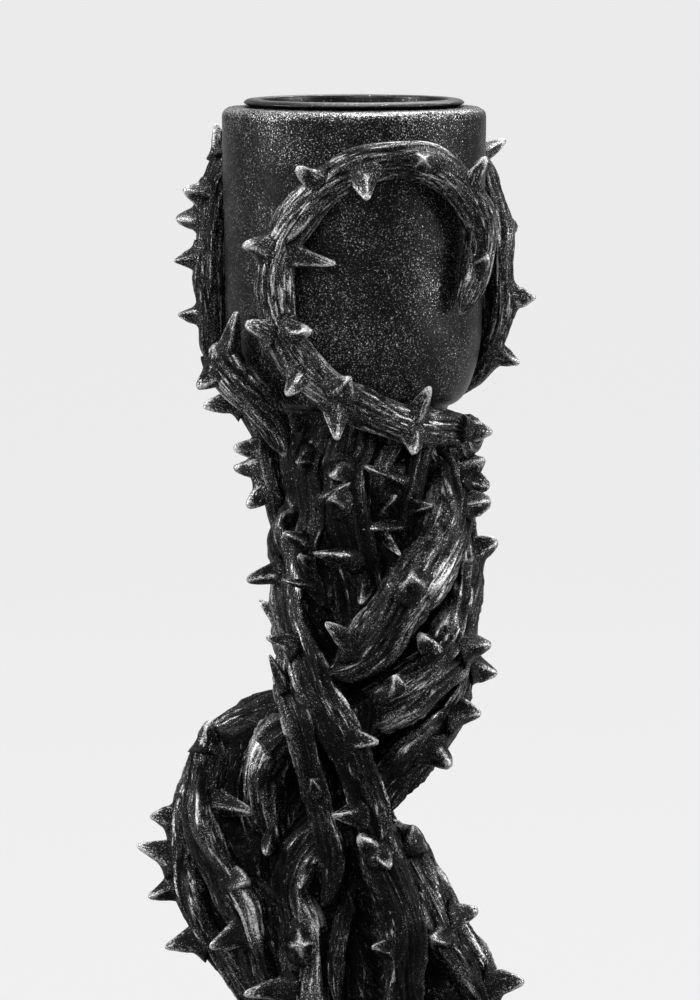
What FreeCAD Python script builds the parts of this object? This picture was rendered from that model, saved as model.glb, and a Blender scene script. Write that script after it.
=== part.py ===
import FreeCAD, Part
import math
import os

# Thorn-vine candle stand: a round cup with a lift-out liner on a stem of wound vines over a domed foot.
# Millimetres, +Z up, -Y to the front, origin on the table under the middle of the foot.

Vector = FreeCAD.Vector
UP = Vector(0, 0, 1)
FULL_TURN = 360.0

# Candle cup
CUP_RIM_HEIGHT = 168.0
CUP_RIM_RADIUS = 16.5
CUP_WAIST_RADIUS = 16.0
CUP_STRAIGHT_DEPTH = 26.5
CUP_ROUND_DEPTH = 10.5
CUP_NECK_RADIUS = 11.6
CUP_NECK_DEPTH = 3.0
CUP_RIM_ROUND = 1.0
CUP_BORE_DEPTH = 33.0

# Lift-out liner
LINER_OUTER_RADIUS = 12.4
LINER_WALL = 0.9
LINER_DEPTH = 27.0
LINER_FLOOR = 1.0
LINER_LIP_RADIUS = 13.75
LINER_LIP_RISE = 1.0
LINER_LIP_EDGE = 0.45
LINER_LIP_CREST_SHARE = 0.35
LINER_CLEARANCE = 0.3

# Pricket in the liner's floor
SPIKE_RADIUS = 2.2
SPIKE_TIP_RADIUS = 0.35
SPIKE_LENGTH = 14.0
SPIKE_SHANK_RADIUS = 1.3
SPIKE_HEAD_RADIUS = 2.6
SPIKE_HEAD_THICKNESS = 0.8
COLLAR_RADIUS = 5.0
COLLAR_THICKNESS = 1.2
SHANK_CLEARANCE = 0.1

# Tie rod and its fasteners
ROD_RADIUS = 2.0
ROD_CLEARANCE = 0.2
NUT_FLATS = 7.0
NUT_HEIGHT = 2.2
WASHER_RADIUS = 4.5
WASHER_THICKNESS = 0.6
ROD_STICK_OUT = 0.4

# Foot
FOOT_RADIUS = 46.0
FOOT_EDGE_HEIGHT = 5.0
FOOT_EDGE_ROUND = 1.5
FOOT_DOME_RISE = 9.0
FOOT_BOSS_RADIUS = 12.0
CORE_FOOT_RADIUS = 11.0
FOOT_BOSS_RISE = 1.0
RECESS_RADIUS = 36.0
RECESS_DEPTH = 6.0
BALLAST_CLEARANCE = 0.3
BALLAST_HOLE_RADIUS = 7.0
FELT_RADIUS = 44.0
FELT_THICKNESS = 1.5

# Vines
BROAD_RADIUS = 2.65
MIDDLE_RADIUS = 2.15
SLIM_RADIUS = 1.6
THIN_RADIUS = 1.15
VINE_GAP = 0.25
TIP_TAPER = 11.0
TIP_SHARE = 0.16
BLUNT_TAPER = 2.0
BLUNT_SHARE = 0.62
SAMPLE_STEP = 1.25
RING_EVERY = 2
SWELL_SHARE = 0.06
SWELL_LENGTH = 9.0
SETTLE_ROUNDS = 90
SETTLE_REFRESH = 6
SETTLE_STRIDE = 0.35
SETTLE_SHARE = 0.6
CORE_RING_STEP = 2.5
CUP_PROBE_SHARES = (-0.5, 0.0, 0.3, 0.55, 0.75, 0.9)

# Thorns, as shares of the vine's radius or of the thorn's own length
THORN_BASE_SHARE = 0.58
THORN_FOOT_SHARE = 0.70
THORN_MIDDLE_SHARE = 0.66
THORN_TIP_SHARE = 0.32
THORN_LENGTH = 3.6
THORN_LENGTH_SHARES = (1.0, 0.8, 1.15, 0.7)
THORN_SPACING = 11.0
THORN_ROLL_STEP = 137.5
THORN_ROLL_SWING = 63.0
THORN_LIFT = 18.4
THORN_SHORTEN_SHARES = (1.0, 0.8, 0.62)
THORN_TURNS = 6
THORN_PROBES = 5

# The photograph's frame, which the seen points below are given in
CUP_HALF_WIDTH_PIXELS = 132.5
AXIS_PIXEL = 354.0
RIM_PIXEL = 106.0
MIDDLE_PIXELS = (350.0, 500.0)
VIEW_PITCH = 5.9
VIEW_DISTANCE_SHARE = 48.5

# Routes of the vines: pixel across, pixel down, and how many pixels nearer than the stem's axis.
CUP_VINE_FRONT_PIXELS = [
    (458, 446, 46), (450, 430, 62), (425, 427, 86), (400, 423, 103), (370, 411, 114), (340, 395, 124),
    (310, 370, 130), (290, 345, 130), (278, 312, 126), (275, 280, 126), (282, 245, 130), (303, 210, 141),
    (328, 185, 148), (358, 168, 151), (395, 160, 146), (430, 165, 130), (455, 185, 110), (472, 210, 91),
    (478, 240, 82), (475, 270, 85), (468, 295, 91), (461, 312, 96)]
CUP_VINE_RIGHT_TURN = 135.0
CUP_VINE_LEFT_PIXELS = [
    (335, 575, -88), (308, 548, -64), (286, 518, -28), (276, 488, -18), (271, 460, -34), (267, 432, -60),
    (250, 400, -72), (230, 368, -62), (218, 340, -48), (212, 300, -40), (211, 260, -40), (213, 220, -48),
    (218, 185, -60), (228, 160, -82), (247, 143, -106), (268, 141, -124), (285, 157, -134), (291, 185, -136),
    (287, 215, -134), (280, 240, -130)]
SHOULDER_VINE_PIXELS = [
    (224, 352, 60), (233, 363, 66), (245, 380, 74), (262, 403, 84), (275, 428, 88), (284, 454, 84)]
NECK_VINE_LEFT_PIXELS = [
    (318, 440, 80), (312, 465, 84), (314, 490, 86), (315, 518, 86), (307, 546, 86), (312, 575, 88),
    (323, 604, 92)]
NECK_VINE_MIDDLE_PIXELS = [
    (350, 438, 88), (341, 472, 92), (346, 508, 94), (357, 550, 92), (370, 582, 88), (390, 599, 82)]
NECK_VINE_RIGHT_PIXELS = [
    (420, 444, 58), (417, 470, 66), (411, 505, 74), (407, 540, 74), (404, 568, 72)]
NECK_VINE_CURL_PIXELS = [
    (386, 446, 66), (376, 470, 72), (375, 500, 76), (379, 528, 80), (384, 552, 84)]
CROSS_VINE_UPPER_PIXELS = [
    (432, 456, 30), (446, 482, 44), (451, 512, 62), (443, 545, 84), (422, 578, 104), (400, 607, 114),
    (378, 638, 116), (354, 662, 114), (328, 673, 110)]
CROSS_VINE_MIDDLE_PIXELS = [
    (400, 446, -60), (428, 480, -66), (450, 520, -48), (461, 560, -14), (461, 592, 24), (456, 628, 58),
    (444, 658, 80), (420, 682, 96), (390, 702, 96), (362, 714, 76), (334, 718, 52), (303, 716, 30),
    (268, 716, 16), (236, 732, 6), (208, 765, 2), (193, 805, 4), (188, 845, 8), (192, 885, 14),
    (208, 925, 22), (236, 962, 26), (262, 1002, 24)]
CROSS_VINE_LOWER_PIXELS = [
    (306, 440, -72), (335, 490, -90), (385, 545, -92), (430, 600, -70), (453, 650, -32), (452, 692, 14),
    (438, 720, 38), (416, 748, 56), (394, 774, 62), (366, 798, 62), (335, 822, 60), (306, 848, 62),
    (293, 880, 70), (295, 930, 80), (300, 1000, 88)]
MAIN_VINE_FRONT_PIXELS = [
    (305, 520, 18), (294, 545, 36), (292, 575, 52), (294, 610, 66), (301, 642, 82), (312, 672, 96),
    (328, 705, 108), (346, 740, 110), (361, 780, 106), (371, 820, 104), (379, 858, 106), (393, 888, 108),
    (404, 930, 108), (402, 1000, 106)]
THIN_VINE_FRONT_PIXELS = [
    (287, 640, 54), (290, 675, 82), (296, 712, 98), (306, 745, 104), (315, 782, 104), (325, 820, 102),
    (333, 858, 100), (331, 890, 98), (322, 906, 96)]
HIP_VINE_FRONT_PIXELS = [
    (214, 742, 40), (205, 780, 52), (202, 812, 58), (209, 842, 62), (226, 872, 66), (248, 910, 70),
    (266, 948, 70), (276, 1000, 60)]
HIP_VINE_INNER_PIXELS = [
    (303, 722, 72), (287, 735, 68), (271, 755, 66), (263, 780, 64), (264, 808, 62), (272, 834, 58),
    (284, 856, 48)]
HIP_VINE_THIN_PIXELS = [
    (256, 738, 44), (243, 765, 50), (240, 795, 54), (248, 828, 56), (258, 856, 56), (264, 880, 58)]
ROOT_VINE_RIGHT_PIXELS = [
    (388, 830, 40), (401, 853, 52), (416, 882, 60), (434, 918, 62), (455, 958, 56), (476, 1000, 48)]
ROOT_VINE_INNER_PIXELS = [
    (404, 892, 14), (420, 925, 18), (434, 962, 30), (440, 1004, 56)]
ROOT_VINE_THIN_PIXELS = [
    (346, 868, 74), (348, 900, 82), (340, 935, 98), (336, 970, 106), (338, 1004, 108)]
BACK_VINE_UPPER_PIXELS = [
    (430, 446, -30), (412, 490, -44), (375, 545, -50), (335, 600, -56), (310, 650, -60), (303, 700, -54),
    (318, 755, -56), (338, 810, -60), (362, 865, -66), (384, 930, -74), (398, 1000, -84)]
BACK_VINE_SIDE_PIXELS = [
    (300, 562, 0), (297, 600, -16), (300, 638, -52), (310, 676, -106), (333, 718, -124), (356, 765, -108),
    (366, 812, -88), (384, 855, -76), (412, 900, -60), (440, 950, -40), (460, 1000, -28)]
HIP_VINE_BACK_PIXELS = [
    (305, 738, -44), (280, 746, -48), (246, 775, -44), (222, 815, -44), (216, 858, -42), (230, 905, -46),
    (262, 950, -62), (300, 1000, -84)]
ROOT_VINE_BACK_PIXELS = [
    (300, 800, -66), (285, 850, -80), (284, 900, -92), (300, 950, -98), (330, 1000, -104)]

# The core that the vines are wound on: pixel across, down, nearer, and radius in pixels.
CORE_PIXELS = [
    (356, 428, 0, 62), (362, 470, 4, 66), (368, 530, 8, 64), (374, 590, 8, 62), (374, 640, 4, 58),
    (364, 690, 0, 47), (352, 730, -2, 42), (341, 770, -2, 44), (331, 815, -4, 51), (318, 860, -6, 54),
    (322, 910, -2, 58), (336, 960, 0, 60), (346, 1010, 0, 62)]

# Thorns that the photograph shows: vine, base across and down, tip across and down, tip nearer by, in pixels.
SEEN_THORN_PIXELS = [
    ("cup_vine_front", 318, 192, 297, 168, 14), ("cup_vine_front", 360, 180, 366, 200, 34),
    ("cup_vine_front", 425, 165, 425, 160, 36), ("cup_vine_front", 475, 175, 486, 157, 8),
    ("cup_vine_front", 275, 253, 243, 243, 14), ("cup_vine_front", 298, 262, 336, 265, 16),
    ("cup_vine_front", 272, 328, 245, 325, 4), ("cup_vine_front", 290, 335, 311, 330, 30),
    ("cup_vine_front", 349, 395, 349, 378, 30), ("cup_vine_front", 412, 415, 432, 386, 20),
    ("cup_vine_front", 338, 412, 335, 440, 22), ("cup_vine_front", 405, 428, 414, 450, 24),
    ("cup_vine_front", 296, 372, 288, 396, 30), ("cup_vine_front", 484, 262, 487, 258, 30),
    ("cup_vine_left", 222, 168, 214, 124, 0), ("cup_vine_left", 216, 200, 193, 193, 16),
    ("cup_vine_left", 203, 222, 186, 220, -8), ("cup_vine_left", 208, 263, 175, 261, 4),
    ("cup_vine_left", 200, 320, 186, 315, -6), ("cup_vine_left", 240, 398, 203, 404, 8),
    ("shoulder_vine", 231, 360, 235, 310, 10), ("shoulder_vine", 234, 374, 198, 387, 16),
    ("cup_vine_left", 270, 446, 241, 448, 6), ("cup_vine_left", 272, 466, 240, 469, 2),
    ("cup_vine_left", 276, 492, 250, 504, 6),
    ("cross_vine_upper", 455, 512, 487, 502, 4), ("cross_vine_upper", 446, 482, 473, 482, 4),
    ("cross_vine_upper", 438, 458, 464, 458, 6), ("cup_vine_right", 503, 292, 522, 298, 4),
    ("cup_vine_right", 494, 358, 516, 362, 4),
    ("cup_vine_front", 456, 440, 482, 431, 4), ("cross_vine_upper", 413, 590, 413, 576, 36),
    ("cross_vine_middle", 461, 553, 483, 547, 4),
    ("cross_vine_middle", 460, 640, 484, 646, 6), ("cross_vine_lower", 454, 672, 497, 674, 2),
    ("cross_vine_lower", 446, 704, 463, 711, 10), ("cross_vine_lower", 418, 745, 452, 766, 20),
    ("cross_vine_middle", 440, 655, 419, 634, 26), ("cross_vine_middle", 392, 690, 397, 676, 34),
    ("cross_vine_upper", 356, 655, 326, 622, 22), ("main_vine_front", 350, 740, 378, 742, 22),
    ("main_vine_front", 366, 816, 332, 817, 20), ("main_vine_front", 380, 862, 390, 866, 36),
    ("main_vine_front", 372, 845, 360, 836, 34), ("main_vine_front", 404, 945, 372, 945, 20),
    ("neck_vine_right", 398, 476, 362, 468, 16), ("neck_vine_middle", 356, 490, 330, 497, 20),
    ("neck_vine_middle", 352, 468, 333, 477, 24), ("neck_vine_right", 404, 500, 431, 506, 16),
    ("neck_vine_right", 398, 528, 362, 526, 14), ("neck_vine_left", 312, 534, 282, 533, 16),
    ("neck_vine_middle", 352, 556, 314, 552, 20), ("neck_vine_middle", 372, 590, 362, 606, 24),
    ("main_vine_front", 285, 580, 246, 578, 6), ("neck_vine_left", 312, 582, 281, 583, 20),
    ("main_vine_front", 292, 645, 266, 637, 10), ("thin_vine_front", 284, 690, 268, 656, 6),
    ("thin_vine_front", 315, 782, 312, 780, 30), ("hip_vine_front", 213, 752, 208, 722, 10),
    ("hip_vine_front", 222, 808, 258, 807, 26), ("hip_vine_front", 228, 868, 246, 882, 34),
    ("cross_vine_middle", 184, 828, 163, 816, 4), ("cross_vine_middle", 178, 852, 137, 845, 8),
    ("cross_vine_middle", 182, 892, 149, 899, 8), ("cross_vine_middle", 206, 932, 165, 948, 14),
    ("hip_vine_front", 246, 930, 209, 945, 16), ("hip_vine_inner", 284, 842, 266, 855, 24),
    ("root_vine_right", 405, 862, 413, 828, 4), ("root_vine_right", 447, 922, 478, 911, -14),
    ("root_vine_right", 455, 938, 416, 938, 28), ("root_vine_right", 482, 985, 524, 979, 10),
    ("cross_vine_lower", 296, 948, 300, 944, 34), ("cross_vine_lower", 288, 985, 244, 990, 18)]

# How each vine that reaches the foot runs out: turn about the axis, from the right-hand side towards the back.
ROOT_TURNS = {
    "cross_vine_middle": 178.0, "cross_vine_lower": -104.0, "main_vine_front": -66.0,
    "hip_vine_front": -142.0, "root_vine_right": -8.0, "root_vine_right_inner": -36.0,
    "back_vine_upper": 68.0, "back_vine_side": 30.0, "hip_vine_back": 142.0, "root_vine_back": 105.0}
ROOT_REACH_SHARES = (0.46, 0.66, 0.88)
ROOT_RISE_SHARES = (0.40, 0.06, 0.0)
ROOT_SWAY = 9.0

# Slimmer roots between the vines' ends, on the same terms.
SIDE_ROOT_TURNS = (-123.0, -85.0, -22.0, 11.0, 49.0, 86.0, 123.0, 160.0, -161.0)
SIDE_ROOT_TWIST = 55.0
SIDE_ROOT_RISE = 34.0
SIDE_ROOT_RISE_SHARES = (1.0, 0.84, 1.1)
SIDE_ROOT_STEP_SHARES = (1.0, 0.72, 0.45)

# Build settings
CUT_OVERRUN = 1.0

# Worked-out sizes
PIXEL_SIZE = CUP_RIM_RADIUS / CUP_HALF_WIDTH_PIXELS
CUP_ROUND_HEIGHT = CUP_RIM_HEIGHT - CUP_STRAIGHT_DEPTH
CUP_NECK_HEIGHT = CUP_ROUND_HEIGHT - CUP_ROUND_DEPTH
CUP_BOTTOM = CUP_NECK_HEIGHT - CUP_NECK_DEPTH
CUP_BORE_RADIUS = LINER_OUTER_RADIUS + LINER_CLEARANCE
CUP_BORE_FLOOR = CUP_RIM_HEIGHT - CUP_BORE_DEPTH
LINER_BORE_RADIUS = LINER_OUTER_RADIUS - LINER_WALL
LINER_BOTTOM = CUP_RIM_HEIGHT - LINER_DEPTH
LINER_FLOOR_TOP = LINER_BOTTOM + LINER_FLOOR
ROD_HOLE_RADIUS = ROD_RADIUS + ROD_CLEARANCE
FOOT_BOTTOM = FELT_THICKNESS
FOOT_EDGE_TOP = FOOT_BOTTOM + FOOT_EDGE_HEIGHT
FOOT_DOME_TOP = FOOT_EDGE_TOP + FOOT_DOME_RISE
FOOT_BOSS_TOP = FOOT_DOME_TOP + FOOT_BOSS_RISE
FOOT_SPHERE_RADIUS = (FOOT_RADIUS ** 2 + FOOT_DOME_RISE ** 2) / (2 * FOOT_DOME_RISE)
RECESS_TOP = FOOT_BOTTOM + RECESS_DEPTH
VIEW_DISTANCE = VIEW_DISTANCE_SHARE * CUP_RIM_RADIUS


def write(name, shape):
    shape.exportStep("parts/" + name + ".step")


def turned_solid(points):
    """A solid turned about the Z axis from a closed outline of (radius, height) points."""
    corners = [Vector(radius, 0, height) for radius, height in points]
    outline = Part.makePolygon(corners + corners[:1])
    return Part.Face(outline).revolve(Vector(), UP, FULL_TURN)


def ring(outer, inner, bottom, height):
    """A flat round plate with a hole, standing on a height."""
    plate = Part.makeCylinder(outer, height, Vector(0, 0, bottom))
    hole = Part.makeCylinder(inner, height + 2 * CUT_OVERRUN, Vector(0, 0, bottom - CUT_OVERRUN))
    return plate.cut(hole)


# Points seen in the photograph


def seen_point(across, down, nearer):
    """The point shown at a pixel, on the upright plane that is so many pixels nearer than the axis."""
    pitch = math.radians(VIEW_PITCH)
    focal_pixels = VIEW_DISTANCE / (PIXEL_SIZE * math.cos(pitch))

    def sight(row):
        rise = (MIDDLE_PIXELS[1] - row) / focal_pixels
        return (rise * math.cos(pitch) - math.sin(pitch)) / (math.cos(pitch) + rise * math.sin(pitch))

    rise = (MIDDLE_PIXELS[1] - down) / focal_pixels
    eye_height = CUP_RIM_HEIGHT - VIEW_DISTANCE * sight(RIM_PIXEL)
    eye_across = (MIDDLE_PIXELS[0] - AXIS_PIXEL) * PIXEL_SIZE
    reach = VIEW_DISTANCE - nearer * PIXEL_SIZE
    spread = reach / (math.cos(pitch) + rise * math.sin(pitch))
    x = eye_across + spread * (across - MIDDLE_PIXELS[0]) / focal_pixels
    return Vector(x, -nearer * PIXEL_SIZE, eye_height + reach * sight(down))


# Surfaces that the vines lie on


def cup_radius(height):
    """The cup's outer radius at a height."""
    if height >= CUP_ROUND_HEIGHT:
        share = (height - CUP_ROUND_HEIGHT) / CUP_STRAIGHT_DEPTH
        return CUP_WAIST_RADIUS + min(share, 1.0) * (CUP_RIM_RADIUS - CUP_WAIST_RADIUS)
    if height <= CUP_NECK_HEIGHT:
        return CUP_NECK_RADIUS
    share = (CUP_ROUND_HEIGHT - height) / CUP_ROUND_DEPTH
    return CUP_NECK_RADIUS + (CUP_WAIST_RADIUS - CUP_NECK_RADIUS) * math.sqrt(1.0 - share ** 2)


def cup_reach(height, room):
    """How far from the axis a ball of a given radius has to stay to clear the cup."""
    reach = 0.0
    for share in CUP_PROBE_SHARES:
        probe = height + share * room
        if probe >= CUP_BOTTOM:
            reach = max(reach, cup_radius(probe) + room * math.sqrt(1.0 - share ** 2))
    return reach


def dome_height(radius):
    """The top of the foot at a distance from the axis."""
    centre = FOOT_DOME_TOP - FOOT_SPHERE_RADIUS
    reach = min(radius, FOOT_RADIUS)
    return centre + math.sqrt(FOOT_SPHERE_RADIUS ** 2 - reach ** 2)


def core_rows():
    """The core's centre and radius at each named height, from the cup down to the foot."""
    rows = []
    for across, down, nearer, radius in CORE_PIXELS:
        centre = seen_point(across, down, nearer)
        rows.append((centre.z, centre.x, centre.y, radius * PIXEL_SIZE))
    top = rows[0]
    rows[0] = (CUP_BOTTOM, top[1], top[2], top[3])
    rows.append((FOOT_BOSS_TOP, 0.0, 0.0, CORE_FOOT_RADIUS))
    return rows


CORE_ROWS = core_rows()


def core_at(height):
    """The core's centre and radius at a height, eased between the named heights."""
    height = max(min(height, CORE_ROWS[0][0]), CORE_ROWS[-1][0])
    for upper, lower in zip(CORE_ROWS, CORE_ROWS[1:]):
        if height >= lower[0]:
            share = (upper[0] - height) / (upper[0] - lower[0])
            share = share * share * (3.0 - 2.0 * share)
            x, y, radius = (a + (b - a) * share for a, b in zip(upper[1:], lower[1:]))
            return Vector(x, y, height), radius
    return Vector(0, 0, height), CORE_FOOT_RADIUS


def push_off_core(point, room):
    """How far a point has to move to keep its room from the cup, the core and the foot."""
    push = Vector()
    radial = Vector(point.x, point.y, 0)
    reach = max(radial.Length, VINE_GAP)
    outward = radial.multiply(1.0 / reach)
    into_floor = point.z - (CUP_BOTTOM - room)
    into_side = cup_reach(point.z, room) - reach if into_floor > 0 else 0.0
    if into_side > 0:
        if into_side < into_floor:
            push = push + outward * into_side
        else:
            push = push - UP * into_floor
    if point.z < CUP_BOTTOM:
        centre, core_radius = core_at(point.z)
        from_core = Vector(point.x - centre.x, point.y - centre.y, 0)
        distance = max(from_core.Length, VINE_GAP)
        if distance < core_radius + room:
            push = push + from_core * ((core_radius + room - distance) / distance)
    into_dome = dome_height(reach) + room - point.z
    if into_dome > 0:
        push = push + UP * into_dome
    return push


# Vine routes


def smooth_route(points):
    """Points at an even step along a smooth curve through the given points."""
    curve = Part.BSplineCurve()
    curve.interpolate(points)
    count = max(int(curve.length() / SAMPLE_STEP), len(points))
    edge = curve.toShape()
    return edge.discretize(Number=count + 1)


def root_points(start, turn):
    """The points by which a vine runs from the stem out over the foot."""
    points = []
    heading = math.radians(turn)
    side = 1.0
    for reach_share, rise_share in zip(ROOT_REACH_SHARES, ROOT_RISE_SHARES):
        bearing = heading + side * math.radians(ROOT_SWAY) * reach_share
        reach = FOOT_RADIUS * reach_share
        rest = dome_height(reach) + MIDDLE_RADIUS
        height = rest + (start.z - rest) * rise_share
        points.append(Vector(reach * math.cos(bearing), reach * math.sin(bearing), height))
        side = -side
    return points


def side_root_points(number):
    """A slimmer root, from the core's side down and out over the foot."""
    turn = SIDE_ROOT_TURNS[number]
    rise = SIDE_ROOT_RISE * SIDE_ROOT_RISE_SHARES[number % len(SIDE_ROOT_RISE_SHARES)]
    points = []
    for step_share in SIDE_ROOT_STEP_SHARES:
        centre, radius = core_at(FOOT_BOSS_TOP + rise * step_share)
        bearing = math.radians(turn - SIDE_ROOT_TWIST * step_share)
        reach = radius + SLIM_RADIUS + VINE_GAP
        points.append(centre + Vector(math.cos(bearing), math.sin(bearing), 0) * reach)
    return points + root_points(points[-1], turn)


def turned_points(points, degrees):
    """Points turned about the Z axis."""
    turn = FreeCAD.Rotation(UP, degrees)
    return [turn.multVec(point) for point in points]


class Vine:
    """A vine's name, its route, and its thickness from end to end."""

    def __init__(self, name, points, radius, start_blunt=True, end_blunt=False):
        self.name = name
        self.radius = radius
        self.start_blunt = start_blunt
        self.end_blunt = end_blunt
        if name in ROOT_TURNS:
            points = points + root_points(points[-1], ROOT_TURNS[name])
        self.points = smooth_route(points)
        self.radii = [self.radius_at(index) for index in range(len(self.points))]

    def taper(self, distance, blunt):
        length = BLUNT_TAPER if blunt else TIP_TAPER
        least = BLUNT_SHARE if blunt else TIP_SHARE
        share = min(distance / length, 1.0)
        return least + (1.0 - least) * math.sqrt(share * (2.0 - share))

    def radius_at(self, index):
        last = len(self.points) - 1
        start = self.taper(index * SAMPLE_STEP, self.start_blunt)
        end = self.taper((last - index) * SAMPLE_STEP, self.end_blunt)
        swell = 1.0 + SWELL_SHARE * math.sin(index * SAMPLE_STEP / SWELL_LENGTH * math.tau)
        return self.radius * swell * min(start, end)


def seen_points(rows):
    return [seen_point(*row) for row in rows]


def side_roots():
    roots = []
    for number in range(len(SIDE_ROOT_TURNS)):
        name = "side_root_" + str(number + 1)
        roots.append(Vine(name, side_root_points(number), SLIM_RADIUS, False))
    return roots


def list_vines():
    """Every vine, before the vines are settled against each other."""
    cup_front = seen_points(CUP_VINE_FRONT_PIXELS)
    cup_right = turned_points(cup_front[1:], CUP_VINE_RIGHT_TURN)
    return side_roots() + [
        Vine("cup_vine_front", cup_front, MIDDLE_RADIUS),
        Vine("cup_vine_right", cup_right, MIDDLE_RADIUS),
        Vine("cup_vine_left", seen_points(CUP_VINE_LEFT_PIXELS), MIDDLE_RADIUS, False),
        Vine("shoulder_vine", seen_points(SHOULDER_VINE_PIXELS), MIDDLE_RADIUS),
        Vine("neck_vine_left", seen_points(NECK_VINE_LEFT_PIXELS), SLIM_RADIUS),
        Vine("neck_vine_middle", seen_points(NECK_VINE_MIDDLE_PIXELS), MIDDLE_RADIUS),
        Vine("neck_vine_right", seen_points(NECK_VINE_RIGHT_PIXELS), SLIM_RADIUS),
        Vine("neck_vine_curl", seen_points(NECK_VINE_CURL_PIXELS), SLIM_RADIUS),
        Vine("cross_vine_upper", seen_points(CROSS_VINE_UPPER_PIXELS), BROAD_RADIUS),
        Vine("cross_vine_middle", seen_points(CROSS_VINE_MIDDLE_PIXELS), BROAD_RADIUS),
        Vine("cross_vine_lower", seen_points(CROSS_VINE_LOWER_PIXELS), BROAD_RADIUS),
        Vine("main_vine_front", seen_points(MAIN_VINE_FRONT_PIXELS), MIDDLE_RADIUS),
        Vine("thin_vine_front", seen_points(THIN_VINE_FRONT_PIXELS), SLIM_RADIUS, False),
        Vine("hip_vine_front", seen_points(HIP_VINE_FRONT_PIXELS), BROAD_RADIUS),
        Vine("hip_vine_inner", seen_points(HIP_VINE_INNER_PIXELS), MIDDLE_RADIUS),
        Vine("hip_vine_thin", seen_points(HIP_VINE_THIN_PIXELS), THIN_RADIUS, False),
        Vine("root_vine_right", seen_points(ROOT_VINE_RIGHT_PIXELS), BROAD_RADIUS),
        Vine("root_vine_right_inner", seen_points(ROOT_VINE_INNER_PIXELS), MIDDLE_RADIUS),
        Vine("root_vine_thin", seen_points(ROOT_VINE_THIN_PIXELS), THIN_RADIUS, False),
        Vine("back_vine_upper", seen_points(BACK_VINE_UPPER_PIXELS), MIDDLE_RADIUS),
        Vine("back_vine_side", seen_points(BACK_VINE_SIDE_PIXELS), MIDDLE_RADIUS),
        Vine("hip_vine_back", seen_points(HIP_VINE_BACK_PIXELS), BROAD_RADIUS),
        Vine("root_vine_back", seen_points(ROOT_VINE_BACK_PIXELS), MIDDLE_RADIUS)]


def cell_of(point, cell):
    return (math.floor(point.x / cell), math.floor(point.y / cell), math.floor(point.z / cell))


def neighbours(cells, point, cell):
    """Every sample in the cells round a point."""
    x, y, z = cell_of(point, cell)
    for dx in (-1, 0, 1):
        for dy in (-1, 0, 1):
            for dz in (-1, 0, 1):
                yield from cells.get((x + dx, y + dy, z + dz), ())


def fill_cells(vines, cell):
    cells = {}
    for number, vine in enumerate(vines):
        for index, point in enumerate(vine.points):
            cells.setdefault(cell_of(point, cell), []).append((number, index))
    return cells


def widest_room():
    """The most that the middle lines of two vines need between them."""
    return 2 * BROAD_RADIUS * (1 + SWELL_SHARE) + VINE_GAP


def close_pairs(vines):
    """Pairs of samples on different vines that lie close enough to matter for a few rounds."""
    slack = SETTLE_STRIDE * SETTLE_REFRESH
    cell = widest_room() + slack
    cells = fill_cells(vines, cell)
    pairs = []
    for number, vine in enumerate(vines):
        for index, point in enumerate(vine.points):
            for other, place in neighbours(cells, point, cell):
                if other <= number:
                    continue
                room = vine.radii[index] + vines[other].radii[place] + VINE_GAP
                if (point - vines[other].points[place]).Length < room + slack:
                    pairs.append((number, index, other, place, room))
    return pairs


def eased(pushes):
    """Pushes spread along a vine and held to a stride, so that it bends and doesn't kink."""
    last = len(pushes) - 1
    for _ in range(2):
        spread = []
        for index in range(last + 1):
            before = pushes[max(index - 1, 0)]
            after = pushes[min(index + 1, last)]
            spread.append((before + pushes[index] * 2 + after) * 0.25)
        pushes = spread
    held = []
    for push in pushes:
        length = push.Length
        held.append(push * (SETTLE_STRIDE / length) if length > SETTLE_STRIDE else push)
    return held


def settle(vines):
    """Moves the vines apart until each has its gap to the others, the cup, the core and the foot."""
    pairs = []
    for turn in range(SETTLE_ROUNDS):
        if turn % SETTLE_REFRESH == 0:
            pairs = close_pairs(vines)
        pushes = []
        for vine in vines:
            pushes.append([push_off_core(point, radius + VINE_GAP)
                           for point, radius in zip(vine.points, vine.radii)])
        for number, index, other, place, room in pairs:
            apart = vines[number].points[index] - vines[other].points[place]
            distance = apart.Length
            if 0 < distance < room:
                push = apart * (SETTLE_SHARE * (room - distance) / distance)
                pushes[number][index] = pushes[number][index] + push
                pushes[other][place] = pushes[other][place] - push
        for vine, wanted in zip(vines, pushes):
            vine.points = [point + push for point, push in zip(vine.points, eased(wanted))]


# Solids of the vines


def directions(points):
    """The direction of travel at each point."""
    last = len(points) - 1
    found = []
    for index in range(last + 1):
        step = points[min(index + 1, last)] - points[max(index - 1, 0)]
        found.append(step.normalize())
    return found


def tube(points, radii, side=None):
    """A closed solid of straight walls between circles along a route, with its seam on a side."""
    sections = []
    for point, along, radius in zip(points, directions(points), radii):
        if side is None:
            side = along.cross(UP if abs(along.z) < 0.9 else Vector(1, 0, 0))
        side = (side - along * side.dot(along)).normalize()
        circle = Part.makeCircle(radius)
        circle.Placement = FreeCAD.Placement(point, FreeCAD.Rotation(side, along.cross(side), along, "ZXY"))
        sections.append(Part.Wire([circle]))
    return Part.makeLoft(sections, True, True)


def thorn(root, along, heading, length, vine_radius):
    """A thorn that grows from a vine's middle line and tapers from a wide foot to a blunt tip."""
    base = THORN_BASE_SHARE * vine_radius
    surface = root + heading * (vine_radius * THORN_FOOT_SHARE)
    tip = root + heading * (vine_radius + length)
    middle = (surface + tip) * 0.5
    radii = (base, base, base * THORN_MIDDLE_SHARE, base * THORN_TIP_SHARE)
    return tube([root, surface, middle, tip], radii, along)


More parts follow.
